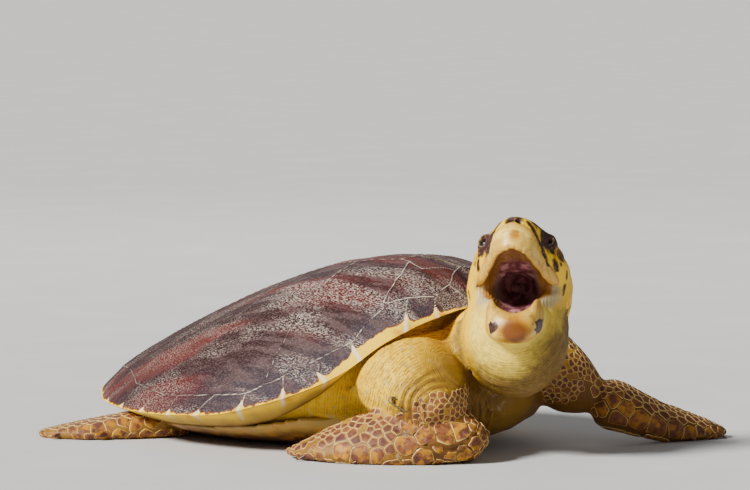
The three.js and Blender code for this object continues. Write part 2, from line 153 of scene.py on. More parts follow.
def ripple(points, size, seed=0):
    """Smooth noise from -1 to 1 with humps of about that size, one number or one for each axis."""
    scaled = points / np.array(size)
    base = np.floor(scaled).astype(np.int64)
    part = scaled - base
    part = part * part * (3 - 2 * part)
    total = np.zeros(len(points))
    for corner in range(8):
        offset = np.array([corner & 1, corner >> 1 & 1, corner >> 2])
        total += np.prod(np.where(offset, part, 1 - part), axis=1) * chance(base + offset, seed)
    return 2 * total - 1


# ---------------------------------------------------------------- meshes as arrays
def points_of(mesh):
    """Where the vertices lie, one row for each."""
    flat = np.empty(len(mesh.vertices) * 3, np.float32)
    mesh.vertices.foreach_get("co", flat)
    return flat.reshape(-1, 3).astype(float)


def normals_of(mesh):
    """The way each vertex faces."""
    flat = np.empty(len(mesh.vertices) * 3, np.float32)
    mesh.vertex_normals.foreach_get("vector", flat)
    return flat.reshape(-1, 3).astype(float)


def edges_of(mesh):
    """The two vertices of each edge, by number."""
    flat = np.empty(len(mesh.edges) * 2, np.int32)
    mesh.edges.foreach_get("vertices", flat)
    return flat.reshape(-1, 2)


def move_points(mesh, points):
    """Puts the vertices where the points are."""
    mesh.vertices.foreach_set("co", points.astype(np.float32).ravel())
    mesh.update()


def mark(mesh, name, values):
    """Stores one number at each vertex, for the materials to read."""
    attribute = mesh.attributes.get(name) or mesh.attributes.new(name, "FLOAT", "POINT")
    attribute.data.foreach_set("value", np.asarray(values, np.float32))


def read_mark(mesh, name):
    """The numbers that mark() stored."""
    values = np.empty(len(mesh.vertices), np.float32)
    mesh.attributes[name].data.foreach_get("value", values)
    return values.astype(float)


def opened(mesh):
    """A bmesh that holds a mesh."""
    bm = bmesh.new()
    bm.from_mesh(mesh)
    return bm


def faces_tree(bm):
    """A search tree over the faces of a bmesh, which it frees."""
    tree = BVHTree.FromBMesh(bm)
    bm.free()
    return tree


def in_box(points, node, reach):
    """Which points lie in a solid's box, or within reach of it."""
    low, high = (np.array(corner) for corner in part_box(node))
    return np.all((points > low - reach) & (points < high + reach), axis=1)


def spread(values, edges, rounds, weight=0.5):
    """Evens out the values of the vertices, a share of the way to their neighbours' mean each round."""
    first, second = edges.T
    size = len(values)
    count = np.bincount(edges.ravel(), minlength=size)
    values = values.reshape(size, -1).copy()
    share = np.broadcast_to(weight, size)[:, None]
    for _ in range(rounds):
        total = np.stack([
            np.bincount(first, column[second], size) + np.bincount(second, column[first], size)
            for column in values.T
        ], axis=1)
        values += share * (total / count[:, None] - values)
    return values


def round_off(mesh, rounds, weight, girth_rounds=16):
    """Smooths facets away, then gives back in three goes the girth that smoothing took."""
    before, edges = points_of(mesh), edges_of(mesh)
    points = spread(before, edges, rounds, weight)
    for _ in range(3):
        move_points(mesh, points)
        normals = normals_of(mesh)
        lost = np.sum((before - points) * normals, axis=1)
        points = points + normals * spread(lost, edges, girth_rounds, 0.5)
    move_points(mesh, points)


def new_piece(name, bm):
    """An object at the origin that holds the mesh, with smooth shading."""
    mesh = bpy.data.meshes.new(name)
    bm.to_mesh(mesh)
    bm.free()
    mesh.shade_smooth()
    piece = bpy.data.objects.new(name, mesh)
    bpy.context.scene.collection.objects.link(piece)
    return piece


def apply_modifiers(piece):
    """Makes the modified mesh the piece's own."""
    graph = bpy.context.evaluated_depsgraph_get()
    mesh = bpy.data.meshes.new_from_object(piece.evaluated_get(graph))
    piece.modifiers.clear()
    piece.data = mesh
    mesh.shade_smooth()
    return mesh


def even_quads(piece, step):
    """Makes a piece anew as one closed mesh of quads of that size."""
    remesh = piece.modifiers.new("even", "REMESH")
    remesh.mode = "VOXEL"
    remesh.voxel_size = step
    return apply_modifiers(piece)


def finish(piece, material, slot, *nodes):
    """Gives a piece its material and its place in the model. The slot is not used."""
    piece.data.materials.clear()
    piece.data.materials.append(material)
    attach(piece, "root")
    if nodes:
        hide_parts(*nodes)
    return piece


def merged_copy(node, grow=0.0):
    """A copy of a solid with its corners joined, swollen by a little."""
    bm = opened(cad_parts[node].data)
    bmesh.ops.remove_doubles(bm, verts=bm.verts, dist=0.01 * MM)
    bm.normal_update()
    for vertex in bm.verts:
        vertex.co += vertex.normal * grow
    return bm


# ---------------------------------------------------------------- skin
SKIN_STEP = 4.45 * MM  # size of the skin's quads away from the head
OVERLAP = 0.5 * MM  # closes the gaps between the solids
LID_THICKNESS = 2.2  # mm of skin over the eyeball


def head_share(points):
    """1 on the head and jaw and 0 on the neck."""
    f, u, side = in_skull(points)
    ahead, above, _ = in_jaw(points)
    skull = ease(-70, -40, f) * ease(-60, -45, u)
    jaw = ease(0, 25, ahead) * ease(-118, -100, above)
    return np.maximum(skull, jaw) * (np.abs(side) < 110) * (ahead > -60)


def near_mouth(points):
    """1 at the jaws' rims and inside the mouth, where the form stays crisp."""
    f, u, side = in_skull(points)
    ahead, above, _ = in_jaw(points)
    upper = ease(-20, 5, f) * ease(45, 20, u) * ease(-75, -45, u)
    lower = ease(-10, 15, ahead) * ease(-62, -46, above) * ease(60, 20, above)
    return np.maximum(upper, lower) * (np.abs(side) < 100)


def inside_shell(points):
    """1 deep inside the shell, where the skin never shows."""
    reach = np.hypot(points[:, 0] / 0.27, (points[:, 1] - 0.03) / 0.34)
    return (reach < 1) & (points[:, 2] > 0.02)


def blank_skin():
    """All the flesh as one closed mesh of even quads, with its facets smoothed away."""
    whole = bmesh.new()
    for node in FLESH + UNDER_HORN:
        part = merged_copy(node, OVERLAP)
        holder = bpy.data.meshes.new("part")
        part.to_mesh(holder)
        part.free()
        whole.from_mesh(holder)
        bpy.data.meshes.remove(holder)
    for centre in EYES.values():
        lid = Matrix.Translation(centre)
        bmesh.ops.create_uvsphere(
            whole, u_segments=32, v_segments=20, radius=EYE_RADIUS + LID_THICKNESS * MM, matrix=lid)
    piece = new_piece("turtle_skin", whole)
    mesh = even_quads(piece, SKIN_STEP)
    round_off(mesh, 50, 0.5 * (1 - 0.85 * near_mouth(points_of(mesh))))
    return piece


def under_scales(points):
    """1 on the blades of the flippers, where plates cover the skin."""
    share = np.zeros(len(points), bool)
    for node in FLESH:
        if node.startswith("flipper"):
            share |= in_box(points, node, 3 * MM)
    return share & (head_share(points) < 0.5)


def thin_out_hidden(piece):
    """Leaves few faces on the skin that the shell or the plates of the flippers hide."""
    hidden = piece.vertex_groups.new(name="hidden")
    points = points_of(piece.data)
    inside = np.flatnonzero(inside_shell(points))
    covered = np.flatnonzero(under_scales(points) & ~inside_shell(points))
    hidden.add(inside.tolist(), 1.0, "REPLACE")
    hidden.add(covered.tolist(), 0.6, "REPLACE")
    decimate = piece.modifiers.new("thin", "DECIMATE")
    decimate.vertex_group = "hidden"
    decimate.vertex_group_factor = 10
    total = len(piece.data.polygons)
    decimate.ratio = 1 - (0.97 * len(inside) + 0.6 * len(covered)) / total
    apply_modifiers(piece)
    piece.vertex_groups.clear()


def refine(piece, wanted):
    """Cuts each quad in four where wanted, a function of points, is above a half."""
    bm = opened(piece.data)
    share = wanted(points_of(piece.data))
    edges = [edge for edge in bm.edges if min(share[v.index] for v in edge.verts) > 0.5]
    bmesh.ops.subdivide_edges(bm, edges=edges, cuts=1, use_grid_fill=True, smooth=0.0)
    bm.to_mesh(piece.data)
    bm.free()
    piece.data.shade_smooth()


def near_features(points):
    """1 round the eyes and nostrils, which need the finest faces."""
    share = np.zeros(len(points))
    for centre in EYES.values():
        share = np.maximum(share, np.linalg.norm(points - centre, axis=1) < 27 * MM)
    for side in SIDES.values():
        nostril = skull_point(*NOSTRIL, side * NOSTRIL_SIDE)
        share = np.maximum(share, np.linalg.norm(points - nostril, axis=1) < 11 * MM)
    return share


# ---------------------------------------------------------------- face
NOSTRIL = (140, 46)  # ahead and above, along the skull
NOSTRIL_SIDE = 9.2
EYE_TURN = {"right": (0.46, 0.02), "left": (0.26, 0.1)}  # how far each eye looks outward and up
LID_OPENING = (11.5, 8.4)  # half length and half height of the gap between the lids
UPPER_HORN_LINE = smooth_curve([12, 60, 104, 126, 145], [-3, 4, 15, 31, 42])
LOWER_HORN_LINE = smooth_curve([38, 66, 96, 120], [-24, -58, -82, -88])


def eye_axes(side):
    """The way an eye looks, the line through the corners of its lids, and the way up across it."""
    outward, upward = EYE_TURN[side]
    look = unit(LEFTWARD * SIDES[side] * outward + SNOUTWARD * 0.87 + CROWNWARD * upward)
    corners = LEFTWARD * -SIDES[side] * 0.5 + SNOUTWARD * 0.6 - CROWNWARD * 0.75
    corners = unit(corners - look * (corners @ look))
    return look, corners, np.cross(look, corners) * -SIDES[side]


def lid_place(points, side):
    """Where points lie about an eye.

    First 1 on the edge of the lids' opening and less inside it. Then how far out along the eye's look, and
    how far from its middle, in mm. Last how high above the corners, 1 being the top of the opening.
    """
    look, corners, across = eye_axes(side)
    away = (points - EYES[side]) / MM
    along, over = away @ corners / LID_OPENING[0], away @ across / LID_OPENING[1]
    ring = (np.abs(along) ** 1.7 + np.abs(over) ** 1.7) ** (1 / 1.7)
    return ring, away @ look, np.linalg.norm(away, axis=1), over


# Soft pushes that fill out the head: middle and radii along the skull, then how far to push, in mm.
HEAD_FORMS = [
    ((134, 46, 0), (24, 24, 30), (1.0, 6.0, 0.0)),
    ((98, 56, -38), (28, 22, 22), (0.5, 2.0, -2.0)), ((98, 54, 38), (34, 26, 26), (1.5, 6.5, 7.0)),
    ((86, 60, -58), (16, 14, 14), (2.5, 2.5, -1.0)), ((86, 60, 58), (16, 14, 14), (2.5, 2.5, 2.0)),
    ((52, 20, 74), (34, 34, 26), (1.0, 0.0, 6.0)), ((10, 26, 88), (40, 44, 26), (0.0, 2.0, 5.0)),
    ((58, 22, -64), (16, 12, 14), (2.0, 0.0, -2.0)), ((58, 20, 66), (16, 12, 14), (2.0, 0.0, 2.0)),
]


# The same along the lower jaw: its rim rises to a tip at each side and dips in the middle.
JAW_FORMS = [
    ((72, -18, -41), (24, 17, 7), (0.0, 14.0, 0.0)), ((72, -18, 42), (24, 17, 7), (0.0, 14.0, 0.0)),
    ((100, -20, 2), (24, 13, 23), (0.0, -11.0, 0.0)),
]
# And on the body, in metres: the wrist of the left flipper.
BODY_FORMS = [((0.155, -0.545, 0.055), (0.060, 0.070, 0.035), (0.0, 0.0, -17.0))]


def fill_out(points):
    """Pushes brow, nose, cheeks, the rim of the lower jaw and a wrist into form."""
    filled = points.copy()
    sets = (
        (HEAD_FORMS, in_skull(points), (SNOUTWARD, CROWNWARD, LEFTWARD)),
        (JAW_FORMS, in_jaw(points), (AHEAD, UP, LEFTWARD)),
        (BODY_FORMS, points.T, np.eye(3)),
    )
    for forms, coordinates, axes in sets:
        for centre, radii, push in forms:
            share = patch(coordinates, centre, radii, soft=0.9)
            filled += share[:, None] * (np.array(push) @ np.array(axes)) * MM
    return filled


def away_from(points, side):
    """How far points lie outward of an eye, in mm."""
    return (points - EYES[side]) @ LEFTWARD * SIDES[side] / MM


def shape_eyes(points):
    """Draws lids over the eyeballs, with an opening between them and folds round it."""
    shaped = points.copy()
    for side in SIDES:
        ring, depth, distance, over = lid_place(points, side)
        out = (points - EYES[side]) / (distance[:, None] * MM)
        near = ease(26, 20.5, distance) * ease(-2, 5, depth)
        opened = ease(1.06, 0.9, ring) * near
        rolled = bump(ring - 1.22, 0.26) * near * 0.9
        folds = np.cos((ring - 1.2) * 13) * ease(1.4, 1.6, ring) * ease(3.0, 2.3, ring) * near * 0.35
        brow = bump(ring - 1.75, 0.5) * ease(0, 0.6, over) * near * 1.6
        outer = bump(distance - 27, 15) * ease(6, -8, depth) * ease(-14, 4, away_from(points, side)) * 6
        brow = brow + outer
        target = EYE_RADIUS / MM - 5.5
        move = (target - distance) * opened + rolled * (1 - opened) + folds + brow
        shaped += out * (move * MM)[:, None]
    return shaped


def nostril_depth(points):
    """How deep each point is sunk to form the nostrils, from 0 to 1, and the rims round them."""
    deep = np.zeros(len(points))
    rim = np.zeros(len(points))
    for side in SIDES.values():
        away = (points - skull_point(*NOSTRIL, side * NOSTRIL_SIDE)) / MM
        distance = np.hypot(away @ LEFTWARD, away @ unit(CROWNWARD - SNOUTWARD) / 1.15)
        near = np.abs(away @ unit(CROWNWARD + SNOUTWARD)) < 14
        deep = np.maximum(deep, ease(6.4, 4.2, distance) * near)
        rim = np.maximum(rim, bump(distance - 7.4, 2.4) * near)
    return deep, rim


def facing_out(points, normals):
    """Above 0 on the outer faces of the jaws, 0 on their rims and below 0 inside the mouth."""
    f, _, side = in_skull(points)
    outward = SNOUTWARD * ((f - 30) * 0.9)[:, None] + LEFTWARD * (side * 1.15)[:, None]
    outward /= np.linalg.norm(outward, axis=1)[:, None] + 1e-9
    return np.sum(outward * normals, axis=1)


def facing_out_of_jaw(points, normals):
    """The same for the lower jaw."""
    f, _, side = in_jaw(points)
    outward = AHEAD * (f - 45)[:, None] + LEFTWARD * (side * 1.1)[:, None]
    outward /= np.linalg.norm(outward, axis=1)[:, None] + 1e-9
    return np.sum(outward * normals, axis=1)


def upper_horn(points, normals):
    """How far points lie inside the horn of the upper jaw, in mm, and below 0 outside it."""
    f, u, side = in_skull(points)
    facing = facing_out(points, normals)
    outer = UPPER_HORN_LINE(f) - u
    inner = (facing + 0.45) * 7
    reach = np.minimum(outer, np.where(u < 14, inner, 20))
    over_jaw = in_jaw(points)[1] - 1
    return np.minimum.reduce([reach, f - 10, u + 48, over_jaw, 96 - np.abs(side)])


def lower_horn(points, normals):
    """How far points lie inside the horn of the lower jaw, which ends ahead of the mouth's floor."""
    f, u, side = in_jaw(points)
    facing = facing_out_of_jaw(points, normals)
    outer = u - LOWER_HORN_LINE(f)
    inner = (facing + 0.35) * 7
    inner = np.where(u > -60, inner, 20)
    floor = np.where((np.abs(side) < 26) & (u > -46), f - 74, 20)
    return np.minimum.reduce([outer, inner, floor, f - 46, 6 - u, 50 - np.abs(side - 2)])


MOUTH_SPAN = 130 * MM  # skin that faces other skin nearer than this may be inside the mouth


def looks_into_mouth(mesh, points, normals):
    """1 inside the open mouth and 0 on the outer skin.

    Inside is what faces other skin near the jaws, with throat, roof and floor added by their places.
    """
    f, u, side = in_skull(points)
    ahead, above, _ = in_jaw(points)
    near = (ahead > -75) & (ahead < 125) & (above > -60) & (u < 42) & (np.abs(side) < 78)
    near &= (f > -60) & (f < 148)
    flesh = faces_tree(opened(mesh))
    inside = np.zeros(len(points))
    for k in np.flatnonzero(near):
        facing = Vector(normals[k])
        hit = flesh.ray_cast(Vector(points[k]) + facing * 2 * MM, facing, MOUTH_SPAN)[0]
        inside[k] = hit is not None
    deep = (np.hypot(side, above * 0.8 - 4) < 46) & (ahead > -80) & (ahead < 40)
    roof = (facing_out(points, normals) < -0.15) & (normals @ CROWNWARD < 0.1) & (np.abs(side) < 62)
    roof &= (u > -24) & (u < 40) & (f > 0) & (f < 146)
    vault = (normals @ CROWNWARD < -0.4) & (f > 0) & (f < 116) & (u > -14) & (u < 40)
    vault &= np.abs(side) < UPPER_RIM_HALF(f) - 9
    floor = (ahead > 30) & (ahead < 72) & (above > -46) & (above < -10) & (np.abs(side) < 28)
    inside[deep | roof | vault | floor] = 1
    return spread(inside, edges_of(mesh), 5)[:, 0]


def patch(coordinates, centre, radii, ragged=0.0, soft=0.22):
    """1 at the middle of an oval patch, falling to 0 across its edge."""
    offsets = [(value - at) / reach for value, at, reach in zip(coordinates, centre, radii)]
    return ease(1 + soft, 1 - soft, np.sqrt(sum(offset ** 2 for offset in offsets)) + ragged)


def streak(coordinates, line, half, ragged=0.0):
    """1 along a bent line, falling to 0 where points lie more than half its width away."""
    points = np.stack(coordinates, axis=1)
    nearest = np.full(len(points), 1e9)
    for start, end in zip(np.array(line[:-1], float), np.array(line[1:], float)):
        along = end - start
        share = np.clip((points - start) @ along / (along @ along), 0, 1)
        nearest = np.minimum(nearest, np.linalg.norm(points - start - share[:, None] * along, axis=1))
    return ease(1.25, 0.8, nearest / half + ragged)


# Patches on the head. Places and radii are along the skull or the lower jaw, in mm.
DARK_LIDS = [
    ((80, 42, -56), (36, 27, 20)), ((82, 42, 55), (33, 24, 20)), ((137, 52, -1), (11, 11, 17)),
    ((102, 26, -47), (32, 21, 15)), ((108, 56, 34), (18, 14, 12)), ((50, 40, 76), (24, 14, 12)),
]
# Lines of dark skin, each with half its width: beside the horn, on the cheeks and behind them.
DARK_STREAKS = [
    ([(132, 49, 25), (123, 35, 36), (112, 26, 43), (96, 19, 50), (84, 11, 55), (70, 2, 60)], 4.6),
    ([(128, 50, -26), (121, 36, -36), (119, 22, -39), (104, 13, -45), (90, 9, -50)], 5.5),
    ([(64, 16, 67), (51, 3, 75)], 5.5), ([(72, 34, 72), (52, 17, 80)], 3.6),
    ([(29, 21, 87), (20, 10, 89)], 2.8), ([(12, 4, 84), (0, -10, 84)], 3.4),
    ([(62, 16, -64), (47, 1, -69)], 4.4), ([(68, 32, -66), (48, 14, -76)], 3.4),
    ([(-8, 2, -87), (-16, -10, -87)], 3.2), ([(-26, 34, 88), (-36, 26, 89)], 5),
    ([(-36, 12, -88), (-44, 4, -88)], 5),
]
DARK_CHIN = [((108, -56, -35), (16, 13, 11)), ((84, -55, 46), (18, 13, 12))]
MEMBRANES = [((26, -8, -50), (30, 28, 24)), ((14, -4, 53), (30, 28, 24))]
UPPER_RIM_HALF = smooth_curve([0, 10, 40, 70, 100, 116, 130, 138], [69, 67, 57, 46, 34, 26, 14, 4])
AMBER_SKULL = [((143, 12, 4), (15, 10, 12))]
AMBER_JAW = [((114, -62, 6), (36, 22, 25))]
THROAT_CENTRE = jaw_point(84, -30, 3)  # the folds of the throat ring this
ELBOW = np.array((-0.213, -0.500, 0.090))  # and those of the right shoulder ring a line through this
ELBOW_AXIS = unit((-0.8, -0.6, 0.1))
SHOULDER_TOP = np.array((-0.172, -0.486, 0.165))  # smooth, where the rings would close on themselves


def mark_head(mesh, points, mottle, fine):
    """Marks the dark, amber and webbed parts of the head. Returns the webs at the corners of the mouth."""
    skull, jaw = in_skull(points), in_jaw(points)
    dark = np.zeros(len(points))
    for centre, radii in DARK_LIDS:
        dark = np.maximum(dark, patch(skull, centre, radii, mottle + fine))
    for line, half in DARK_STREAKS:
        dark = np.maximum(dark, streak(skull, line, half, fine + mottle * 0.4))
    for centre, radii in DARK_CHIN:
        dark = np.maximum(dark, patch(jaw, centre, radii, (mottle + fine) * 1.5))
    crown = ease(50, 70, skull[1]) * ease(-120, -90, skull[0]) * 0.85 * (np.abs(skull[2]) < 100)
    membrane = np.max([patch(jaw, *place, mottle, 0.45) for place in MEMBRANES], axis=0)
    amber = np.max([patch(skull, *place, fine, 0.8) * 0.55 for place in AMBER_SKULL]
                   + [patch(jaw, *place, mottle * 0.6, 0.8) for place in AMBER_JAW], axis=0)
    # A pale crescent along the lower edge of each lid opening: a painted highlight.
    lids = np.zeros(len(points))
    for side in SIDES:
        ring, depth, distance, over = lid_place(points, side)
        lid = bump(ring - 1.2, 0.2) * ease(26, 20, distance) * ease(-2, 5, depth) * ease(0.3, -0.3, over)
        lids = np.maximum(lids, lid)
    from_rim = np.minimum((UPPER_RIM_HALF(skull[0]) - np.abs(skull[2])) / 27, (138 - skull[0]) / 70)
    mark(mesh, "pigment", np.maximum(dark, crown * (skull[0] < 150)))
    mark(mesh, "membrane", membrane)
    mark(mesh, "amber", amber)
    mark(mesh, "lids", lids)
    mark(mesh, "rimward", from_rim + mottle * 0.2)
    mark(mesh, "wall", ease(26, 34, np.abs(skull[2]) + mottle * 8) * ease(66, 46, skull[0]))
    return membrane


def limb_share(points, edges, head):
    """1 on the limbs, where the skin shows only between scales."""
    _, y, z = points.T
    limb = np.zeros(len(points))
    for node in FLESH:
        if node == "arm_left" or node.startswith("flipper"):
            limb[close_to(points, node, 6 * MM)] = 1
    arm = close_to(points, "arm_right", 6 * MM)
    limb[arm[(z[arm] < ARM_SCALE_TOP(y[arm]) - 0.004) & (points[arm, 0] < ARM_SCALE_SIDE)]] = 1
    return spread(limb * (1 - head), edges, 4)[:, 0]


def mark_skin(mesh, points, normals):
    """Marks where the skin is brown, yellow or wrinkled and where shade is painted on it, and returns what
    fold() needs.
    """
    mottle = ripple(points, 0.009, 21) * 0.25
    membrane = mark_head(mesh, points, mottle, ripple(points, 0.0045, 22) * 0.2)
    jaw = in_jaw(points)
    x, y, z = points.T
    edges = edges_of(mesh)
    head = head_share(points)
    below = np.linalg.norm(points - THROAT_CENTRE, axis=1) / MM
    throat = ease(42, 70, below) * ease(230, 150, below) * ease(-20, -45, jaw[1])
    throat = spread(throat * ease(0.6, 0.3, normals[:, 1]), edges, 6)[:, 0]
    elbow = np.linalg.norm(np.cross(points - ELBOW, ELBOW_AXIS), axis=1) / MM
    shoulder = ease(18, 34, elbow) * ease(300, 220, elbow) * ease(-0.02, -0.08, x)
    shoulder = shoulder * ease(0.03, 0.08, -y - 0.12) * (1 - np.maximum(throat, head))
    shoulder = spread(shoulder, edges, 6)[:, 0]
    calm = 1 - ease(46, 18, np.linalg.norm(points - SHOULDER_TOP, axis=1) / MM)
    # Painted shade on the turtle's left front, the side away from the key light: the limb mark tints it tan.
    left = ease(0.02, 0.07, x) * ease(0.30, 0.40, -y)
    limb = limb_share(points, edges, head)
    # Painted shade, which the material tints umber: the lower throat and the skin near the ground.
    shade = ease(92, 165, below + mottle * 30) * throat + ease(0.11, 0.03, z) * 0.7 * (1 - head)
    # Painted shade on the left side of the lower throat and of the head, the side away from the key light.
    shade += 0.85 * throat * ease(-5, 60, jaw[2] + mottle * 20) * ease(-45, -95, jaw[1])
    shade += 0.4 * head * ease(45, 85, jaw[2] + mottle * 20) * ease(30, -30, jaw[1])
    # Painted shade in the valleys of the shoulder folds and in the crook of the elbow.
    valleys = 0.5 - 0.5 * np.cos((elbow + folds_waver(points)) * FOLD_TURN)
    shade += shoulder * ease(120, 60, elbow) * (0.35 + 0.75 * valleys + ripple(points, 0.02, 23) * 0.25)
    # Painted shade, broken by noise, over the wrinkled top of the right shoulder.
    shade += 0.7 * shoulder * (1 - calm) * (0.7 + ripple(points, 0.012, 24) * 0.6)
    # Painted shade under the neck.
    shade += ease(0.18, 0.10, z) * ease(-0.40, -0.46, y) * ease(-0.22, -0.14, x) * (1 - head)
    # How strongly the wrinkles show, with their painted shade, and the tan mottle, kept as the crease mark.
    worn_throat = throat * (0.35 + 0.65 * ease(60, 150, below))
    worn = np.maximum(worn_throat, shoulder * (0.5 + 0.5 * ease(200, 100, elbow)))
    mark(mesh, "fleck", shoulder * ease(60, 100, elbow))
    mark(mesh, "warm", np.clip(ease(46, 90, below) * (1 - 0.75 * throat) + (1 - head) * (1 - throat), 0, 1))
    mark(mesh, "ring", np.where(throat > shoulder, below, elbow))
    mark(mesh, "crease", worn * (1 - limb) * (0.15 + 0.85 * calm))
    mark(mesh, "shade", np.clip(shade, 0, 1))
    mark(mesh, "limb", np.maximum(limb, left * 0.8))
    return throat, below, shoulder * calm, elbow, membrane


# How far apart the folds are, in mm.
ELBOW_FOLDS = 14
SHOULDER_FOLDS = 8.5
THROAT_FOLDS = 9
THROAT_ROLLS = 24
MOUTH_PLEATS = 5.5
FOLD_TURN = 2 * math.pi / ELBOW_FOLDS


def folds_waver(points):
    """How far the folds stray from true rings, in mm."""
    return ripple(points, 0.03, 31) * 5


def fold(mesh, points, normals, throat, below, shoulder, elbow, membrane):
    """Presses the wrinkles of throat, shoulder and mouth corners into the skin."""
    waver = folds_waver(points)
    rings = np.cos((below + waver) * 2 * math.pi / THROAT_FOLDS) * 0.4
    rings += np.cos((below + waver) * 2 * math.pi / THROAT_ROLLS) * 1.3 * ease(95, 140, below)
    deep = np.cos((elbow + waver) * FOLD_TURN) * 2.6 * ease(110, 70, elbow) * ease(26, 40, elbow)
    fine = np.cos((elbow + waver * 1.4) * 2 * math.pi / SHOULDER_FOLDS) * 0.55
    pleats = np.cos(in_jaw(points)[2] * 2 * math.pi / MOUTH_PLEATS + waver * 0.3) * 0.7 * membrane
    hollow = -2.5 * membrane
    height = throat * rings + shoulder * (deep + fine) + pleats + hollow
    folded = points + normals * (height * MM)[:, None]
    meeting = ease(0.01, 0.08, throat * shoulder)[:, None]
    move_points(mesh, folded * (1 - meeting) + spread(folded, edges_of(mesh), 14) * meeting)


def groove_line(points):
    """1 along the border between the horn of the upper jaw and the face."""
    f, u, side = in_skull(points)
    return bump(u - UPPER_HORN_LINE(f) - 1.5, 3.5) * ease(8, 30, f) * ease(138, 124, f) * (np.abs(side) > 18)


def build_palate(points, normals, mouth):
    """Raises the ridges and lumps of the roof of the mouth, and returns how far each point moves, in mm."""
    f, _, side = in_skull(points)
    roof = mouth * ease(-0.1, -0.5, normals @ CROWNWARD) * ease(20, 35, f) * ease(128, 112, f)
    middle_ridge = bump(side, 7) * 3.5
    lumps = bump(np.hypot(np.abs(side) - 16, (f - 74) * 0.7), 12) * 5
    lumps += bump(np.hypot(np.abs(side) - 13, (f - 96) * 0.8), 8) * 3
    return roof * (middle_ridge + lumps + ripple(points, 0.008, 41) * 0.5)


def build_skin(looks):
    """The skin of the whole animal, with its marks for the material."""
    piece = blank_skin()
    thin_out_hidden(piece)
    refine(piece, head_share)
    refine(piece, near_features)
    mesh = piece.data
    edges = edges_of(mesh)
    points = fill_out(spread(points_of(mesh), edges, 2, 0.4))
    move_points(mesh, points)
    mouth = looks_into_mouth(mesh, points, normals_of(mesh))
    points = shape_eyes(points)
    deep, rim = nostril_depth(points)
    move_points(mesh, points)
    normals = normals_of(mesh)
    move = rim * 0.8 - deep * 5.5 + build_palate(points, normals, mouth) - 1.6 * groove_line(points)
    points += normals * (move * MM)[:, None]
    move_points(mesh, points)
    mark(mesh, "mouth", mouth)
    mark(mesh, "nostril", deep)
    normals = normals_of(mesh)
    fold(mesh, points, normals, *mark_skin(mesh, points, normals))
    settle(mesh)
    return finish(piece, skin_material(looks), "skin", *FLESH)


def settle(mesh):
    """Lifts what the folds pushed below the floor back onto it."""
    points = points_of(mesh)
    points[:, 2] = np.maximum(points[:, 2], 0.4 * MM)
    move_points(mesh, points)


# ---------------------------------------------------------------- horn of the beaks
def horn_sheath(name, region, thickness, material, *nodes):
    """A sheath over the skin where region is above 0. It dips under the skin at its border."""
    source = bpy.data.objects["turtle_skin"].data
    points, normals = points_of(source), normals_of(source)
    inside = region(points, normals)
    bm = opened(source)
    spare = [face for face in bm.faces if max(inside[v.index] for v in face.verts) < -3]
    bmesh.ops.delete(bm, geom=spare, context="FACES")
    piece = new_piece(name, bm)
    mesh = piece.data
    points, normals = points_of(mesh), normals_of(mesh)
    inside = spread(region(points, normals), edges_of(mesh), 10)[:, 0]
    lift = ease(-1.5, 1.8, inside) * (thickness + 0.8) - 0.8
    ridges = np.cos(inside * 2 * math.pi / 4.6) * 0.3 * ease(3, 5, inside) * ease(30, 24, inside)
    lift += ridges * (1 - read_mark(mesh, "mouth")) * ease(100, 125, in_skull(points)[0])
    move_points(mesh, points + normals * (lift * MM)[:, None])
    mark(mesh, "inside", inside)
    wall = piece.modifiers.new("wall", "SOLIDIFY")
    wall.thickness = 1.5 * MM
    wall.offset = -1
    apply_modifiers(piece)
    return finish(piece, material, "beak_horn", *nodes)


# ---------------------------------------------------------------- shell
ARCH = smooth_curve([0, 0.35, 0.7, 1], [2.6, 2.4, 1.8, 1.5])  # how boxy the cross-section is
ARCH_EDGE = 0.86
SHELL_WALL = 13 * MM
SHELL_COLUMNS, SHELL_ROWS = 236, 330
MARGINAL_FALL = smooth_curve([0, 0.1, 0.2, 0.3, 0.42, 0.6, 0.8, 1], [4, 14, 30, 37, 26, 20, 16, 4])
YELLOW_BAND = smooth_curve(
    [0, 0.031, 0.052, 0.081, 0.111, 0.132, 0.162, 0.19, 0.235, 0.4, 0.65, 1],
    [8, 12, 15, 27, 37, 38, 27, 10, 3.5, 3, 3, 5])
SHELL_LOW, SHELL_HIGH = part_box("carapace")
SHELL_LENGTH = SHELL_HIGH.y - SHELL_LOW.y

# Seams between the plates, as fractions of the shell's length and half width. Each side mirrors the other.
PLATE_SEAMS = [
    [(0.051, 0.45), (0.053, 0.7), (0.116, 0.745), (0.154, 0.897), (0.228, 0.928), (0.275, 0.946),
     (0.343, 0.966), (0.417, 0.953), (0.562, 0.939), (0.69, 0.87), (0.776, 0.734), (0.86, 0.6),
     (0.915, 0.4), (0.93, 0.0)],
    [(0.084, 0.0), (0.076, 0.134), (0.051, 0.45)],
    [(0.076, 0.134), (0.115, 0.345), (0.157, 0.252), (0.185, 0.2), (0.27, 0.255), (0.345, 0.19),
     (0.43, 0.25), (0.51, 0.19), (0.6, 0.26), (0.675, 0.2), (0.79, 0.37), (0.9, 0.47)],
    [(0.185, 0.2), (0.18, 0.0)], [(0.345, 0.19), (0.34, 0.0)], [(0.51, 0.19), (0.505, 0.0)],
    [(0.675, 0.2), (0.67, 0.0)],
    [(0.157, 0.252), (0.137, 0.451), (0.13, 0.73), (0.116, 0.745)],
    [(0.27, 0.255), (0.29, 0.6), (0.31, 0.956)],
    [(0.43, 0.25), (0.46, 0.6), (0.5, 0.945)],
    [(0.6, 0.26), (0.64, 0.6), (0.68, 0.876)],
]
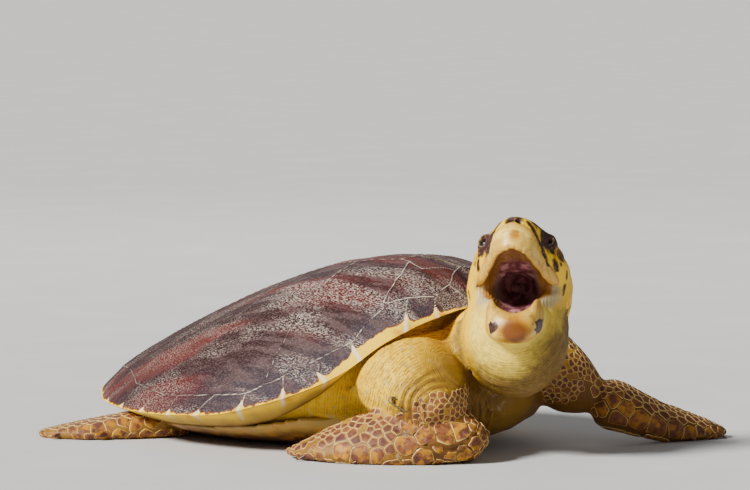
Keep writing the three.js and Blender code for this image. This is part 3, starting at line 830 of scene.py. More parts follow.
MARGINAL_SEAMS = [
    [(0.051, 0.45), (0.0, 0.62)], [(0.053, 0.66), (0.03, 1.0)], [(0.09, 0.73), (0.066, 1.0)],
    [(0.16, 0.9), (0.132, 1.0)], [(0.228, 0.928), (0.187, 1.0)], [(0.275, 0.946), (0.265, 1.0)],
    [(0.343, 0.966), (0.355, 1.0)], [(0.417, 0.953), (0.456, 1.0)], [(0.518, 0.945), (0.535, 1.0)],
    [(0.586, 0.935), (0.625, 1.0)], [(0.67, 0.88), (0.71, 1.0)], [(0.76, 0.76), (0.8, 1.0)],
    [(0.85, 0.62), (0.89, 1.0)], [(0.93, 0.0), (1.0, 0.0)],
]


def shell_outline():
    """The half width and height of the rim and the height of the crest, read from the solid."""
    bm = merged_copy("carapace")
    rim = {}
    for vertex in bm.verts:
        slopes = [face.normal.z for face in vertex.link_faces]
        if max(slopes) > 0.05 and min(slopes) < -0.05:
            rim[round(vertex.co.y, 3)] = (abs(vertex.co.x), vertex.co.z)
    solid = faces_tree(bm)
    rows = sorted(rim)
    lengths = [(y - SHELL_LOW.y) / SHELL_LENGTH for y in rows]
    above = SHELL_HIGH.z + 1
    crest = [solid.ray_cast(Vector((0, y, above)), Vector((0, 0, -1)))[0].z for y in rows[1:-1]]
    crest = [rim[rows[0]][1], *crest, rim[rows[-1]][1]]
    half_width = smooth_curve(lengths, [rim[y][0] for y in rows])
    rim_height = smooth_curve(lengths, [rim[y][1] for y in rows])
    return half_width, rim_height, smooth_curve(lengths, crest)


HALF_WIDTH, RIM_HEIGHT, CREST_HEIGHT = shell_outline()


def shell_points(t, s):
    """Points of the dome at fractions of the shell's length and half width."""
    rim = RIM_HEIGHT(t)
    dome = np.maximum(0, 1 - np.abs(s) ** ARCH(t)) ** ARCH_EDGE
    height = rim + (CREST_HEIGHT(t) - rim) * dome
    return np.stack([s * HALF_WIDTH(t), SHELL_LOW.y + t * SHELL_LENGTH, height], axis=1)


def seam_tree(lines, seed):
    """A search tree of close points along the seams of both sides, which waver a little."""
    places = []
    for line in lines:
        corners = np.array(line)
        for start, end in zip(corners[:-1], corners[1:]):
            share = np.linspace(0, 1, 90)[:, None]
            places.append(start + (end - start) * share)
    places = np.concatenate(places)
    right, left = places * (1, -1), places
    both = np.concatenate([right, left])
    points = shell_points(both[:, 0], both[:, 1])
    points[:, 0] += ripple(points, 0.022, seed) * 2.2 * MM
    points[:, 1] += ripple(points, 0.022, seed + 1) * 2.2 * MM
    tree = KDTree(len(points))
    for number, point in enumerate(points):
        tree.insert(point, number)
    tree.balance()
    return tree


def distances(tree, points):
    """How far each point is from the nearest point of a search tree, in mm."""
    return np.array([tree.find(point)[2] for point in points]) / MM


def build_carapace(looks):
    """The carapace: plates with grooves between them, the yellow margin and the undersides."""
    bm = bmesh.new()
    bmesh.ops.create_grid(bm, x_segments=SHELL_COLUMNS, y_segments=SHELL_ROWS, size=1)
    grid = np.array([vertex.co[:2] for vertex in bm.verts])
    s, t = np.sin(grid[:, 0] * math.pi / 2), (1 + grid[:, 1]) / 2
    points = shell_points(t, s)
    plates = distances(seam_tree(PLATE_SEAMS, 3), points)
    marginals = distances(seam_tree(MARGINAL_SEAMS, 5), points)
    to_rim = np.linalg.norm(points - shell_points(t, np.sign(s)), axis=1) / MM
    scallop = np.sin(np.clip(marginals, 0, 30) / 30 * math.pi / 2)
    outward = np.abs(s) ** 6 * ease(0.45, 0.7, t)
    points[:, 0] += np.sign(s) * outward * (scallop - 0.5) * 5 * MM
    names = ("seam", "marginal", "yellow", "along", "under")
    layer = {name: bm.verts.layers.float.new(name) for name in names}
    flare = (11 + 26 * ease(0.42, 0.28, t)) * np.exp(-marginals / 2.6)
    band = YELLOW_BAND(t) * (0.95 + 0.12 * ripple(points, 0.05, 8)) + flare
    for vertex, place, *marks in zip(bm.verts, points, plates, marginals, band - to_rim, t):
        vertex.co = place
        for name, value in zip(names, marks):
            vertex[layer[name]] = value
    add_underside(bm, layer)
    bmesh.ops.recalc_face_normals(bm, faces=bm.faces)
    piece = new_piece("carapace_plates", bm)
    relieve_shell(piece.data)
    return finish(piece, carapace_material(looks), "carapace_horn", "carapace")


# The rings of the shell's underside: how large each is beside the rim, and how far it has come down to the
# lower edge of the marginals. None is for the rings of the inner roof.
UNDER_RINGS = [(1 - 0.14 * k / 6, k / 6) for k in range(1, 7)]
UNDER_RINGS += [(0.84, None), (0.6, None), (0.3, None), (0.0, None)]


def add_underside(bm, layer):
    """Carries the edge of the dome in under the marginals and up inside, and closes it."""
    middle_y = (SHELL_LOW.y + SHELL_HIGH.y) / 2
    edge = [e for e in bm.edges if e.is_boundary]
    start = {v: v.co.copy() for e in edge for v in e.verts}
    for scale, fall in UNDER_RINGS:
        made = bmesh.ops.extrude_edge_only(bm, edges=edge)["geom"]
        following = {}
        for vertex in (g for g in made if isinstance(g, bmesh.types.BMVert)):
            before = next(e.other_vert(vertex) for e in vertex.link_edges if e.other_vert(vertex) in start)
            origin = start[before]
            x, y = origin.x * scale, middle_y + (origin.y - middle_y) * scale
            t = (y - SHELL_LOW.y) / SHELL_LENGTH
            if fall is None:
                roof = shell_points(np.array([t]), np.array([x / HALF_WIDTH(t)]))[0][2]
                vertex.co = (x, y, roof - SHELL_WALL)
            else:
                edge_t = (origin.y - SHELL_LOW.y) / SHELL_LENGTH
                vertex.co = (x, y, origin.z - float(MARGINAL_FALL(edge_t)) * MM * fall)
            vertex[layer["yellow"]], vertex[layer["seam"]] = 60, 40
            vertex[layer["under"]] = 1.5 if fall is None else fall
            following[vertex] = origin
        edge = [g for g in made if isinstance(g, bmesh.types.BMEdge) and all(v in following for v in g.verts)]
        start = following
    bmesh.ops.remove_doubles(bm, verts=list(start), dist=MM)


def relieve_shell(mesh):
    """Presses the seams in, crowns the plates and roughens the horn along its streaks."""
    points, normals = points_of(mesh), normals_of(mesh)
    seam = np.minimum(read_mark(mesh, "seam"), read_mark(mesh, "marginal"))
    under = np.minimum(read_mark(mesh, "under") * 6, 1)
    streaks = ripple(points, (0.012, 0.06, 0.02), 11) * 0.4 + ripple(points, (0.008, 0.03, 0.012), 12) * 0.2
    height = 1.3 * ease(0, 22, seam) - 1.1 * bump(seam, 3.2) + streaks * (1 - under)
    move_points(mesh, points + normals * ((height * (1 - under)) * MM)[:, None])


# ---------------------------------------------------------------- scales
FLIPPER_SAMPLES, ARM_SAMPLES, BEND_SAMPLES = 9000, 14000, 1300  # places tried on the skin


def scatter(points, normals, spacing, order):
    """Picks points in the given order that keep their spacing on the same face of the body."""
    places, facings = np.empty_like(points), np.empty_like(points)
    reach = np.empty(len(points))
    chosen = []
    for k in order:
        count = len(chosen)
        gap = np.linalg.norm(places[:count] - points[k], axis=1)
        close = gap < 0.5 * (reach[:count] + spacing[k])
        if not np.any(close & (facings[:count] @ normals[k] > 0.1)):
            places[count], facings[count], reach[count] = points[k], normals[k], spacing[k]
            chosen.append(k)
    return np.array(chosen)


def even_out(points, normals, sizes, chosen, held, rounds=4):
    """Moves chosen points to the middle of the ground nearest to them, which closes gaps. Held ones stay."""
    chosen = chosen.copy()
    for _ in range(rounds):
        gap = np.linalg.norm(points[:, None] - points[None, chosen], axis=2) / sizes[chosen]
        gap += 10 * (normals @ normals[chosen].T < 0.1)
        owner = gap.argmin(axis=1)
        for number in np.flatnonzero(~held):
            ground = np.flatnonzero(owner == number)
            if len(ground):
                away = np.linalg.norm(points[ground] - points[ground].mean(0), axis=1)
                chosen[number] = ground[away.argmin()]
    return chosen


def bend(points, normals, sizes, rng):
    """How far the skin turns within a scale's reach of each point: 1 where it is flat, 0 at a right angle."""
    seen = rng.choice(len(points), BEND_SAMPLES)
    near = np.sum(points ** 2, axis=1)[:, None] + np.sum(points[seen] ** 2, axis=1)
    near = near - 2 * points @ points[seen].T
    turn = normals @ normals[seen].T
    return np.where(near < (0.5 * sizes[:, None]) ** 2, turn, 1).min(axis=1)


def off_tag(points):
    """1 away from the flipper tag, which no scale may cover."""
    return ~in_box(points, "flipper_tag", 9 * MM)


class Plates:
    """Grows scales over the skin, each cut to fit its neighbours, as one joined mesh."""

    def __init__(self, seeds, normals, sizes, roots, form, marks):
        """Takes each scale's middle, facing, width, place on the map and marks, and the gap and rise."""
        self.drape = faces_tree(opened(bpy.data.objects["turtle_skin"].data))
        self.seeds, self.normals, self.sizes = seeds, normals, sizes
        self.roots, self.form, self.marks = roots, form, marks
        self.tree = KDTree(len(seeds))
        for number, seed in enumerate(seeds):
            self.tree.insert(seed, number)
        self.tree.balance()

    def outline(self, number, reach):
        """The flat outline of one scale: a disc cut halfway to each neighbour, with its corners eased."""
        place, normal = Vector(self.seeds[number]), Vector(self.normals[number])
        size = float(self.sizes[number])
        turn = normal.to_track_quat("Z", "Y").to_matrix().to_4x4()
        bm = bmesh.new()
        bmesh.ops.create_circle(
            bm, cap_ends=True, radius=reach * size, segments=10, matrix=Matrix.Translation(place) @ turn)
        for seed, rival, _ in self.tree.find_range(place, 2.3 * size):
            if rival == number or self.normals[rival] @ self.normals[number] < 0.1:
                continue
            away = seed - place
            away -= normal * away.dot(normal)
            share = size / (size + float(self.sizes[rival]))
            edge = place + away * share - away.normalized() * self.form["gap"]
            everything = bm.verts[:] + bm.edges[:] + bm.faces[:]
            bmesh.ops.bisect_plane(bm, geom=everything, plane_co=edge, plane_no=away, clear_outer=True)
        bmesh.ops.remove_doubles(bm, verts=bm.verts[:], dist=0.18 * size)
        if bm.faces:
            bmesh.ops.bevel(
                bm, geom=bm.verts[:], offset=0.08 * size, segments=1, profile=0.5, affect="VERTICES",
                clamp_overlap=True, material=-1)
            long = [edge for edge in bm.edges if edge.calc_length() > 7 * MM]
            if long:
                bmesh.ops.subdivide_edges(bm, edges=long, cuts=1 if size < 24 * MM else 2)
            for face in bm.faces:
                self.draw_in([loop.vert for loop in face.loops], place, normal, size)
        return bm, place, normal, size

    def draw_in(self, corners, place, normal, size):
        """Brings the outline nearer its middle where the skin turns or falls away, with no notches."""
        shares = []
        for corner in corners:
            for share in (1, 0.85, 0.7, 0.55):
                _, facing, _, gap = self.drape.find_nearest(place.lerp(corner.co, share))
                if facing.dot(normal) > 0.3 and gap < 0.3 * size:
                    break
            shares.append(share)
        for _ in range(3):
            beside = zip(shares[-1:] + shares[:-1], shares, shares[1:] + shares[:1])
            shares = [min(before + 0.1, share, after + 0.1) for before, share, after in beside]
        for corner, share in zip(corners, shares):
            corner.co = place.lerp(corner.co, share)

    def raise_crown(self, bm, place, normal, size, edge):
        """Gives the outline its height, and steps it in from the rim to a crown."""
        base = next(iter(bm.faces))
        for vertex in bm.verts:
            vertex[edge] = 1
        raised = bmesh.ops.extrude_face_region(bm, geom=[base], use_keep_orig=True)["geom"]
        top = next(g for g in raised if isinstance(g, bmesh.types.BMFace))
        rise = self.form["rise"]
        bmesh.ops.translate(bm, verts=base.verts[:], vec=-normal * 1.2 * MM)
        bmesh.ops.translate(bm, verts=top.verts[:], vec=normal * rise * 0.4)
        steps = [(min(0.8 * MM, 0.06 * size), 0.35, 0.6), (min(2.2 * MM, 0.14 * size), 0.25, 0.0)]
        if size > 15 * MM:
            steps.append((0.17 * size, 0.05, 0.0))
        centre = place + normal * rise * 0.4
        for thickness, depth, value in steps:
            bmesh.ops.inset_individual(bm, faces=[top], thickness=0.0, depth=0.0)
            for vertex in top.verts:
                inward = (vertex.co - centre) * (1 - 2.2 * thickness / size)
                vertex.co = centre + inward + normal * depth * rise
                vertex[edge] = value
            centre = centre + normal * depth * rise
        bmesh.ops.poke(bm, faces=[top], offset=0.05 * rise)

    def unwrap(self, bm, number, place, normal, size):
        """Lays the scale out flat round its own place on the map."""
        flat = bm.loops.layers.uv.new("OFBake")
        across = normal.orthogonal().normalized()
        along = normal.cross(across)
        for face in bm.faces:
            for loop in face.loops:
                away = loop.vert.co - place
                spot = Vector((away.dot(across), away.dot(along))) / size * 0.0018
                loop[flat].uv = Vector(self.roots[number]) + spot

    def lay_down(self, bm, place, normal, size):
        """Bends the scale over the skin. False where the skin turns or falls away from it."""
        for vertex in bm.verts:
            height = (vertex.co - place).dot(normal)
            flat_spot = vertex.co - normal * height
            spot, facing, _, gap = self.drape.find_nearest(flat_spot)
            if facing.dot(normal) < 0 or gap > 0.6 * size:
                return False
            vertex.co = spot + facing * height
            vertex.co.z = max(vertex.co.z, 0.0)
        bmesh.ops.recalc_face_normals(bm, faces=bm.faces[:])
        return True

    def is_flat(self, bm, edge, flatness):
        """True where no face of the crown turns away from the whole by more than flatness allows."""
        crown = [face.normal for face in bm.faces if max(v[edge] for v in face.verts) < 0.7]
        whole = sum(crown, Vector())
        return min(facing.dot(whole.normalized()) for facing in crown) >= flatness

    def one(self, number, reach, flatness):
        """One scale, or None where it can't be cut from the skin about it or laid over it."""
        bm, place, normal, size = self.outline(number, reach)
        if len(bm.faces) != 1:
            bm.free()
            return None
        layers = {name: bm.verts.layers.float.new(name) for name in ("edge", *self.marks)}
        self.raise_crown(bm, place, normal, size, layers["edge"])
        for name, values in self.marks.items():
            for vertex in bm.verts:
                vertex[layers[name]] = values[number]
        self.unwrap(bm, number, place, normal, size)
        if self.lay_down(bm, place, normal, size) and self.is_flat(bm, layers["edge"], flatness):
            return bm
        bm.free()
        return None

    def build(self, name):
        """Joins all the scales into one piece."""
        whole = bmesh.new()
        holder = bpy.data.meshes.new("scale")
        for number in range(len(self.seeds)):
            part = self.one(number, 0.95, 0) or self.one(number, 0.75, -2)
            if part:
                part.to_mesh(holder)
                part.free()
                whole.from_mesh(holder)
        bpy.data.meshes.remove(holder)
        return new_piece(name, whole)


def limb_places(points, node, claw):
    """How far along a limb points lie, 0 to 1, and how far across it, up to 1 at its leading edge."""
    solid = np.array([v.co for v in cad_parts[node].data.vertices])
    axis = np.linalg.svd(solid - solid.mean(0), full_matrices=False)[2][0]
    axis *= np.sign(axis @ (solid.mean(0) - middle("trunk")))
    reach = solid @ axis
    t = np.clip((points @ axis - reach.min()) / np.ptp(reach), 0, 1)
    stations = np.linspace(0, 1, 9)
    centres, sides, halves = [], [], []
    toward = middle(claw)
    for station in stations:
        ring = points[np.abs(t - station) < 0.09]
        centre = ring.mean(0)
        flat = ring - centre
        flat -= np.outer(flat @ axis, axis)
        side = np.linalg.svd(flat, full_matrices=False)[2][0]
        side *= np.sign(side @ (toward - centre))
        centres.append(centre)
        sides.append(side)
        halves.append(np.percentile(np.abs(flat @ side), 97))
    centre, side = (
        np.stack([np.interp(t, stations, column) for column in np.array(rows).T], 1)
        for rows in (centres, sides))
    half = np.interp(t, stations, halves)
    return t, np.clip(np.sum((points - centre) * side, axis=1) / half, -1, 1)


def close_to(points, node, reach):
    """Which points lie within reach of a solid."""
    solid = faces_tree(merged_copy(node))
    near = np.flatnonzero(in_box(points, node, reach))
    return np.array([k for k in near if solid.find_nearest(Vector(points[k]), reach)[0]])


def surface_samples(node, reach, count, rng):
    """Random points of the skin within reach of a solid, evenly spread, and the way the skin faces there."""
    mesh = bpy.data.objects["turtle_skin"].data
    points, normals = points_of(mesh), normals_of(mesh)
    near = np.zeros(len(points), bool)
    near[close_to(points, node, reach)] = True
    near &= ~inside_shell(points)
    mesh.calc_loop_triangles()
    corners = np.empty(len(mesh.loop_triangles) * 3, np.int32)
    mesh.loop_triangles.foreach_get("vertices", corners)
    corners = corners.reshape(-1, 3)
    corners = corners[near[corners].all(axis=1)]
    a, b, c = (points[corners[:, k]] for k in range(3))
    area = np.linalg.norm(np.cross(b - a, c - a), axis=1)
    picked = corners[rng.choice(len(corners), count, p=area / area.sum())]
    root, slide = np.sqrt(rng.random(count)), rng.random(count)
    weights = np.stack([1 - root, root * (1 - slide), root * slide], axis=1)
    facing = np.einsum("ij,ijk->ik", weights, normals[picked])
    facing /= np.linalg.norm(facing, axis=1)[:, None]
    return np.einsum("ij,ijk->ik", weights, points[picked]), facing


def build_flipper_scales(side, end):
    """The scales of one flipper: large ones in a row along the leading edge, and smaller toward the other."""
    node, claw = f"flipper_{end}_{side}", f"claw_{end}_{side}_1"
    rng = np.random.default_rng(7 + SIDES[side] + 10 * len(end))
    points, normals = surface_samples(node, 5 * MM, FLIPPER_SAMPLES, rng)
    t, w = limb_places(points, node, claw)
    row_at, large, mid, small = (0.72, 36, 16, 10) if end == "front" else (0.7, 24, 14, 9)
    size = mid + (large - mid) * ease(0.46, 0.6, w) + (small - mid) * ease(0.2, -0.6, w)
    size = size * (1 - 0.35 * ease(0.6, 1, t)) * (1 - 0.3 * ease(0.3, 0.1, t)) * MM
    size *= 1 - 0.55 * ease(0.75, 0.2, bend(points, normals, size, rng))
    clear = (points[:, 2] > 1.5 * MM) & (t > 0.005) & off_tag(points)
    row = clear & (np.abs(w - row_at) < 0.06)
    rest = rng.permutation(np.flatnonzero(clear & ~row))
    order = np.concatenate([sorted(np.flatnonzero(row), key=lambda k: t[k]), rest]).astype(int)
    chosen = scatter(points, normals, size, order)
    ground = np.flatnonzero(clear)
    index = np.full(len(points), -1)
    index[ground] = np.arange(len(ground))
    evened = even_out(points[ground], normals[ground], size[ground], index[chosen], row[chosen])
    chosen = ground[evened]
    tone = rng.random(len(chosen))
    gold = ease(0.3, 0.62, w[chosen]) * (0.6 + 0.4 * rng.random(len(chosen)))
    # Less gold on the left flipper, the side away from the key light: painted shade.
    if side == "left":
        gold *= 0.8
    row_of_map = 0.5 + 0.2 * w[chosen] + 0.22 * np.sign(normals[chosen, 2])
    roots = np.stack([0.05 + 0.9 * t[chosen], row_of_map], axis=1)
    form = {"gap": 0.4 * MM, "rise": 1.2 * MM}
    plates = Plates(points[chosen], normals[chosen], size[chosen], roots, form, {"tone": tone, "gold": gold})
    return plates.build(f"scales_{end}_{side}")


# How high the scales reach on the right arm, by how far back they lie, and how far in, in metres.
ARM_SCALE_TOP = smooth_curve(
    [-0.535, -0.51, -0.48, -0.45, -0.41, -0.385, -0.34],
    [0.12, 0.128, 0.121, 0.106, 0.09, 0.064, 0.03])
ARM_SCALE_SIDE = -0.07


def build_arm_scales(side):
    """Small scales over the upper arm. On the right they stop where the skin folds."""
    rng = np.random.default_rng(31 + SIDES[side])
    points, normals = surface_samples("arm_" + side, 5 * MM, ARM_SAMPLES, rng)
    hand = middle(f"flipper_front_{side}")
    away = np.linalg.norm(points - hand, axis=1) / MM
    size = (9 + 7 * ease(away.min() + 70, away.min(), away)) * MM
    clear = (points[:, 2] > 2 * MM) & off_tag(points)
    if side == "right":
        top = ARM_SCALE_TOP(points[:, 1]) + ripple(points, 0.012, 51) * 0.006
        clear &= (points[:, 2] < top) & (points[:, 0] < ARM_SCALE_SIDE)
    ground = np.flatnonzero(clear)
    points, normals, size = points[ground], normals[ground], size[ground]
    chosen = scatter(points, normals, size, rng.permutation(len(ground)))
    chosen = even_out(points, normals, size, chosen, np.zeros(len(chosen), bool), 2)
    # Browner scales on the left arm, the side away from the key light: painted shade.
    tone = rng.random(len(chosen)) * (0.5 if side == "left" else 1)
    low, high = points.min(0), points.max(0)
    place = (points[chosen] - low) / (high - low)
    row_of_map = 0.05 + 0.4 * place[:, 2] + 0.5 * (normals[chosen, 0] > 0)
    roots = np.stack([0.05 + 0.9 * place[:, 1], row_of_map], axis=1)
    form = {"gap": 0.5 * MM, "rise": 0.7 * MM}
    marks = {"tone": tone, "gold": 0.3 * rng.random(len(chosen))}
    plates = Plates(points[chosen], normals[chosen], size[chosen], roots, form, marks)
    return plates.build(f"scales_arm_{side}")


def build_head_scales():
    """Thin plates over the crown, brow and cheeks."""
    skin = bpy.data.objects["turtle_skin"].data
    all_points, all_normals = points_of(skin), normals_of(skin)
    f, u, side = in_skull(all_points)
    off_eyes = np.min([lid_place(all_points, eye)[2] for eye in SIDES], axis=0) > 27
    crown = (u > 30) & (f < 62) & (f > -108) & (np.abs(side) < 110)
    cheek = (u > -10) & (f < -25) & (f > -85) & (np.abs(side) > 55) & (np.abs(side) < 115)
    outer = (read_mark(skin, "mouth") < 0.05) & (upper_horn(all_points, all_normals) < -4)
    wanted = np.flatnonzero((crown | cheek) & off_eyes & outer & (all_normals @ CROWNWARD > -0.5))
    points, normals = all_points[wanted], all_normals[wanted]
    f, u, side = f[wanted], u[wanted], side[wanted]
    size = (15 + 11 * ease(52, 75, u) * ease(40, -10, f) + 2 * ease(40, 70, np.abs(side))) * MM
    rng = np.random.default_rng(77)
    middle_line = np.abs(side) < 6
    order = np.concatenate([np.flatnonzero(middle_line), rng.permutation(np.flatnonzero(~middle_line))])
    chosen = scatter(points, normals, size, order)
    chosen = even_out(points, normals, size, chosen, middle_line[chosen], 2)
    tone = rng.random(len(chosen))
    pigment = read_mark(skin, "pigment")[wanted][chosen]
    dark = np.maximum(ease(40, 62, u[chosen]), pigment) * (0.75 + 0.25 * tone)
    roots = np.stack([0.5 + f[chosen] / 300, 0.5 + side[chosen] / 260], axis=1)
    form = {"gap": 0.4 * MM, "rise": 0.45 * MM}
    plates = Plates(points[chosen], normals[chosen], size[chosen], roots, form, {"tone": tone, "dark": dark})
    return plates.build("scales_head")


# ---------------------------------------------------------------- smaller pieces
def rounded_copy(node, name, rounds=2):
    """A solid with its facets rounded away."""
    piece = new_piece(name, merged_copy(node))
    smooth = piece.modifiers.new("round", "SUBSURF")
    smooth.levels = smooth.render_levels = rounds
    apply_modifiers(piece)
    return piece


CORNEA = 32  # degrees from the way the eye looks to where the bulge over the iris ends


def build_eye(side, looks):
    """An eyeball with its iris and pupil turned the way the eye looks."""
    look = Vector(eye_axes(side)[0])
    bm = bmesh.new()
    turn = Matrix.Translation(EYES[side]) @ look.to_track_quat("Z", "Y").to_matrix().to_4x4()
    bmesh.ops.create_uvsphere(bm, u_segments=64, v_segments=48, radius=EYE_RADIUS - 1.2 * MM, matrix=turn)
    iris = bm.verts.layers.float.new("iris")
    for vertex in bm.verts:
        away = vertex.co - Vector(EYES[side])
        vertex[iris] = math.degrees(away.angle(look))
        if vertex[iris] < CORNEA:
            vertex.co += look * 0.9 * MM * (1 - (vertex[iris] / CORNEA) ** 2)
    piece = new_piece(f"eyeball_{side}", bm)
    return finish(piece, eye_material(looks), "eye", f"eye_{side}")


BELLY_STEP = 4.5 * MM
BELLY_SEAMS_ALONG = (-0.30, -0.17, -0.03, 0.12, 0.23)  # metres from the middle of the belly
BELLY_SEAM_OUT = 0.17


def build_belly(looks):
    """The plates of the belly, with shallow seams between them."""
    piece = new_piece("belly_plates", merged_copy("plastron", 2.6 * MM))
    mesh = even_quads(piece, BELLY_STEP)
    round_off(mesh, 24, 0.5)
    points, normals = points_of(mesh), normals_of(mesh)
    out = np.abs(points[:, 0])
    across = np.min([np.abs(points[:, 1] - at - 0.03 * out) for at in BELLY_SEAMS_ALONG], axis=0)
    seam = np.minimum(across, np.minimum(out, np.abs(out - BELLY_SEAM_OUT))) / MM
    points -= normals * (bump(seam, 4) * 0.9 * MM * (points[:, 2] > 1 * MM))[:, None]
    points[:, 2] = np.maximum(points[:, 2], 0)
    move_points(mesh, points)
    mark(mesh, "seam", seam)
    return finish(piece, belly_material(looks), "plastron_horn", "plastron")


# ---------------------------------------------------------------- materials
def paint(red, green, blue):
    """A colour picked on a screen, 0 to 255, as the light that a material takes."""
    levels = np.array([red, green, blue]) / 255
    linear = np.where(levels > 0.04045, ((levels + 0.055) / 1.055) ** 2.4, levels / 12.92)
    return tuple(float(x) for x in linear)


def colour(name, description, default):
    """A colour that a user may change."""
    return FloatVectorProperty(
        name=name, description=description, subtype="COLOR", size=3, min=0, max=1, default=default)


def feed(tree, socket, value):
    """Links an output to a socket, or sets the socket to a constant."""
    if isinstance(value, bpy.types.NodeSocket):
        tree.links.new(value, socket)
    else:
        socket.default_value = value


def add(tree, kind, inputs=None, **settings):
    """Adds a shader node. Inputs maps its sockets to values or to the outputs that feed them."""
    made = tree.nodes.new("ShaderNode" + kind)
    for key, value in settings.items():
        setattr(made, key, value)
    for key, value in (inputs or {}).items():
        feed(tree, made.inputs[key], value)
    return made


def marked(tree, name):
    """The number that mark() stored at the surface."""
    return add(tree, "Attribute", attribute_name=name).outputs["Fac"]


def tint(tree, share, first, second):
    """A blend of two colours, each a constant or an output, by a share from 0 to 1."""
    blend = add(tree, "Mix", {0: share}, data_type="RGBA")
    for number, value in ((6, first), (7, second)):
        feed(tree, blend.inputs[number], value if isinstance(value, bpy.types.NodeSocket) else (*value, 1))
    return blend.outputs[2]


def sums(tree, operation, *values):
    """Arithmetic on outputs and numbers."""
    return add(tree, "Math", dict(enumerate(values)), operation=operation).outputs[0]


def times(tree, first, second):
    """The product of two outputs or numbers."""
    return sums(tree, "MULTIPLY", first, second)


def span(tree, value, low, high, start=0.0, end=1.0):
    """Maps low to high smoothly onto start to end."""
    limits = {0: value, 1: low, 2: high, 3: start, 4: end}
    return add(tree, "MapRange", limits, interpolation_type="SMOOTHSTEP").outputs[0]


def noise(tree, vector, scale, detail):
    """Soft noise from 0 to 1."""
    return add(tree, "TexNoise", {"Vector": vector, "Scale": scale, "Detail": detail}).outputs["Fac"]


def fill_speckle(tree, given):
    """Noise, cut to what rises above a level."""
    value = noise(tree, given["Vector"], given["Scale"], given["Detail"])
    return span(tree, value, given["Level"], sums(tree, "ADD", given["Level"], given["Softness"]))


def fill_grain(tree, given):
    """Noise with small cells added to it."""
    value = noise(tree, given["Vector"], given["Scale"], 4.0)
    cells = add(tree, "TexVoronoi", {"Vector": given["Vector"], "Scale": given["Scale"]}, feature="F1")
    return sums(tree, "ADD", value, times(tree, cells.outputs["Distance"], given["Cells"]))


def fill_crease(tree, given):
    """Thin lines a set distance apart across the number Ring, broken up by noise."""
    bends = noise(tree, given["Vector"], 34.0, 3.0)
    wandered = sums(tree, "MULTIPLY_ADD", bends, 9.0, given["Ring"])
    swing = sums(tree, "ABSOLUTE", sums(tree, "SINE", times(tree, wandered, given["Rate"])))
    broken = noise(tree, given["Vector"], 120.0, 2.0)
    line = span(tree, swing, 0.0, 0.55, 1.0, 0.0)
    return times(tree, line, span(tree, broken, 0.32, 0.6))


# The shader node groups: what fills each, its output, and its number inputs with their defaults.
GROUPS = {
    "speckle": (fill_speckle, "Mask", {"Scale": 100.0, "Level": 0.5, "Softness": 0.06, "Detail": 3.0}),
    "grain": (fill_grain, "Height", {"Scale": 200.0, "Cells": 0.5}),
    "crease": (fill_crease, "Mask", {"Ring": 0.0, "Rate": 0.7}),
}


def group(name):
    """A shader node group with a Vector input, number inputs and one output. Built once."""
    if name in bpy.data.node_groups:
        return bpy.data.node_groups[name]
    fill, output, numbers = GROUPS[name]
    tree = bpy.data.node_groups.new(name, "ShaderNodeTree")
    tree.interface.new_socket("Vector", in_out="INPUT", socket_type="NodeSocketVector")
    for key, value in numbers.items():
        socket = tree.interface.new_socket(key, in_out="INPUT", socket_type="NodeSocketFloat")
        socket.default_value = value
    tree.interface.new_socket(output, in_out="OUTPUT", socket_type="NodeSocketFloat")
    entry, leave = tree.nodes.new("NodeGroupInput"), tree.nodes.new("NodeGroupOutput")
    tree.links.new(fill(tree, entry.outputs), leave.inputs[0])
    return tree


def use_group(tree, name, given):
    """Places a node group in a material with its own values, and returns its output."""
    node = tree.nodes.new("ShaderNodeGroup")
    node.node_tree = group(name)
    for key, value in given.items():
        feed(tree, node.inputs[key], value)
    return node.outputs[0]


def speckle(tree, vector, scale, level, softness=0.06, detail=3.0):
    """A mask that is 1 where noise of that scale rises above level."""
    given = {"Vector": vector, "Scale": scale, "Level": level, "Softness": softness, "Detail": detail}
    return use_group(tree, "speckle", given)


def grain(tree, vector, scale, cells=0.5):
    """A height for the bump of skin or horn: noise with small cells in it."""
    return use_group(tree, "grain", {"Vector": vector, "Scale": scale, "Cells": cells})


def crease(tree, vector, ring, rate):
    """A mask of wrinkles that follow the number ring."""
    return use_group(tree, "crease", {"Vector": vector, "Ring": ring, "Rate": rate})


def cover(tree, shader, base, height, strength, depth):
    """Feeds the shader its colour, and a bump from a height."""
    bumps = add(tree, "Bump", {"Height": height, "Strength": strength, "Distance": depth})
    tree.links.new(base, shader.inputs["Base Color"])
    tree.links.new(bumps.outputs["Normal"], shader.inputs["Normal"])


def place_of(tree, stretch=(1, 1, 1), turn=(0, 0, 0)):
    """Object coordinates, stretched to draw a pattern out along a direction."""
    source = add(tree, "TexCoord").outputs["Object"]
    return add(tree, "Mapping", {"Vector": source, "Rotation": turn, "Scale": stretch}).outputs["Vector"]


def material_of(name, roughness, specular=0.5, coat=0.0):
    """A new material, its tree and its shader."""
    material = bpy.data.materials.new(name)
    material.use_nodes = True
    shader = material.node_tree.nodes["Principled BSDF"]
    shader.inputs["Roughness"].default_value = roughness
    shader.inputs["Specular IOR Level"].default_value = specular
    shader.inputs["Coat Weight"].default_value = coat
    return material, material.node_tree, shader


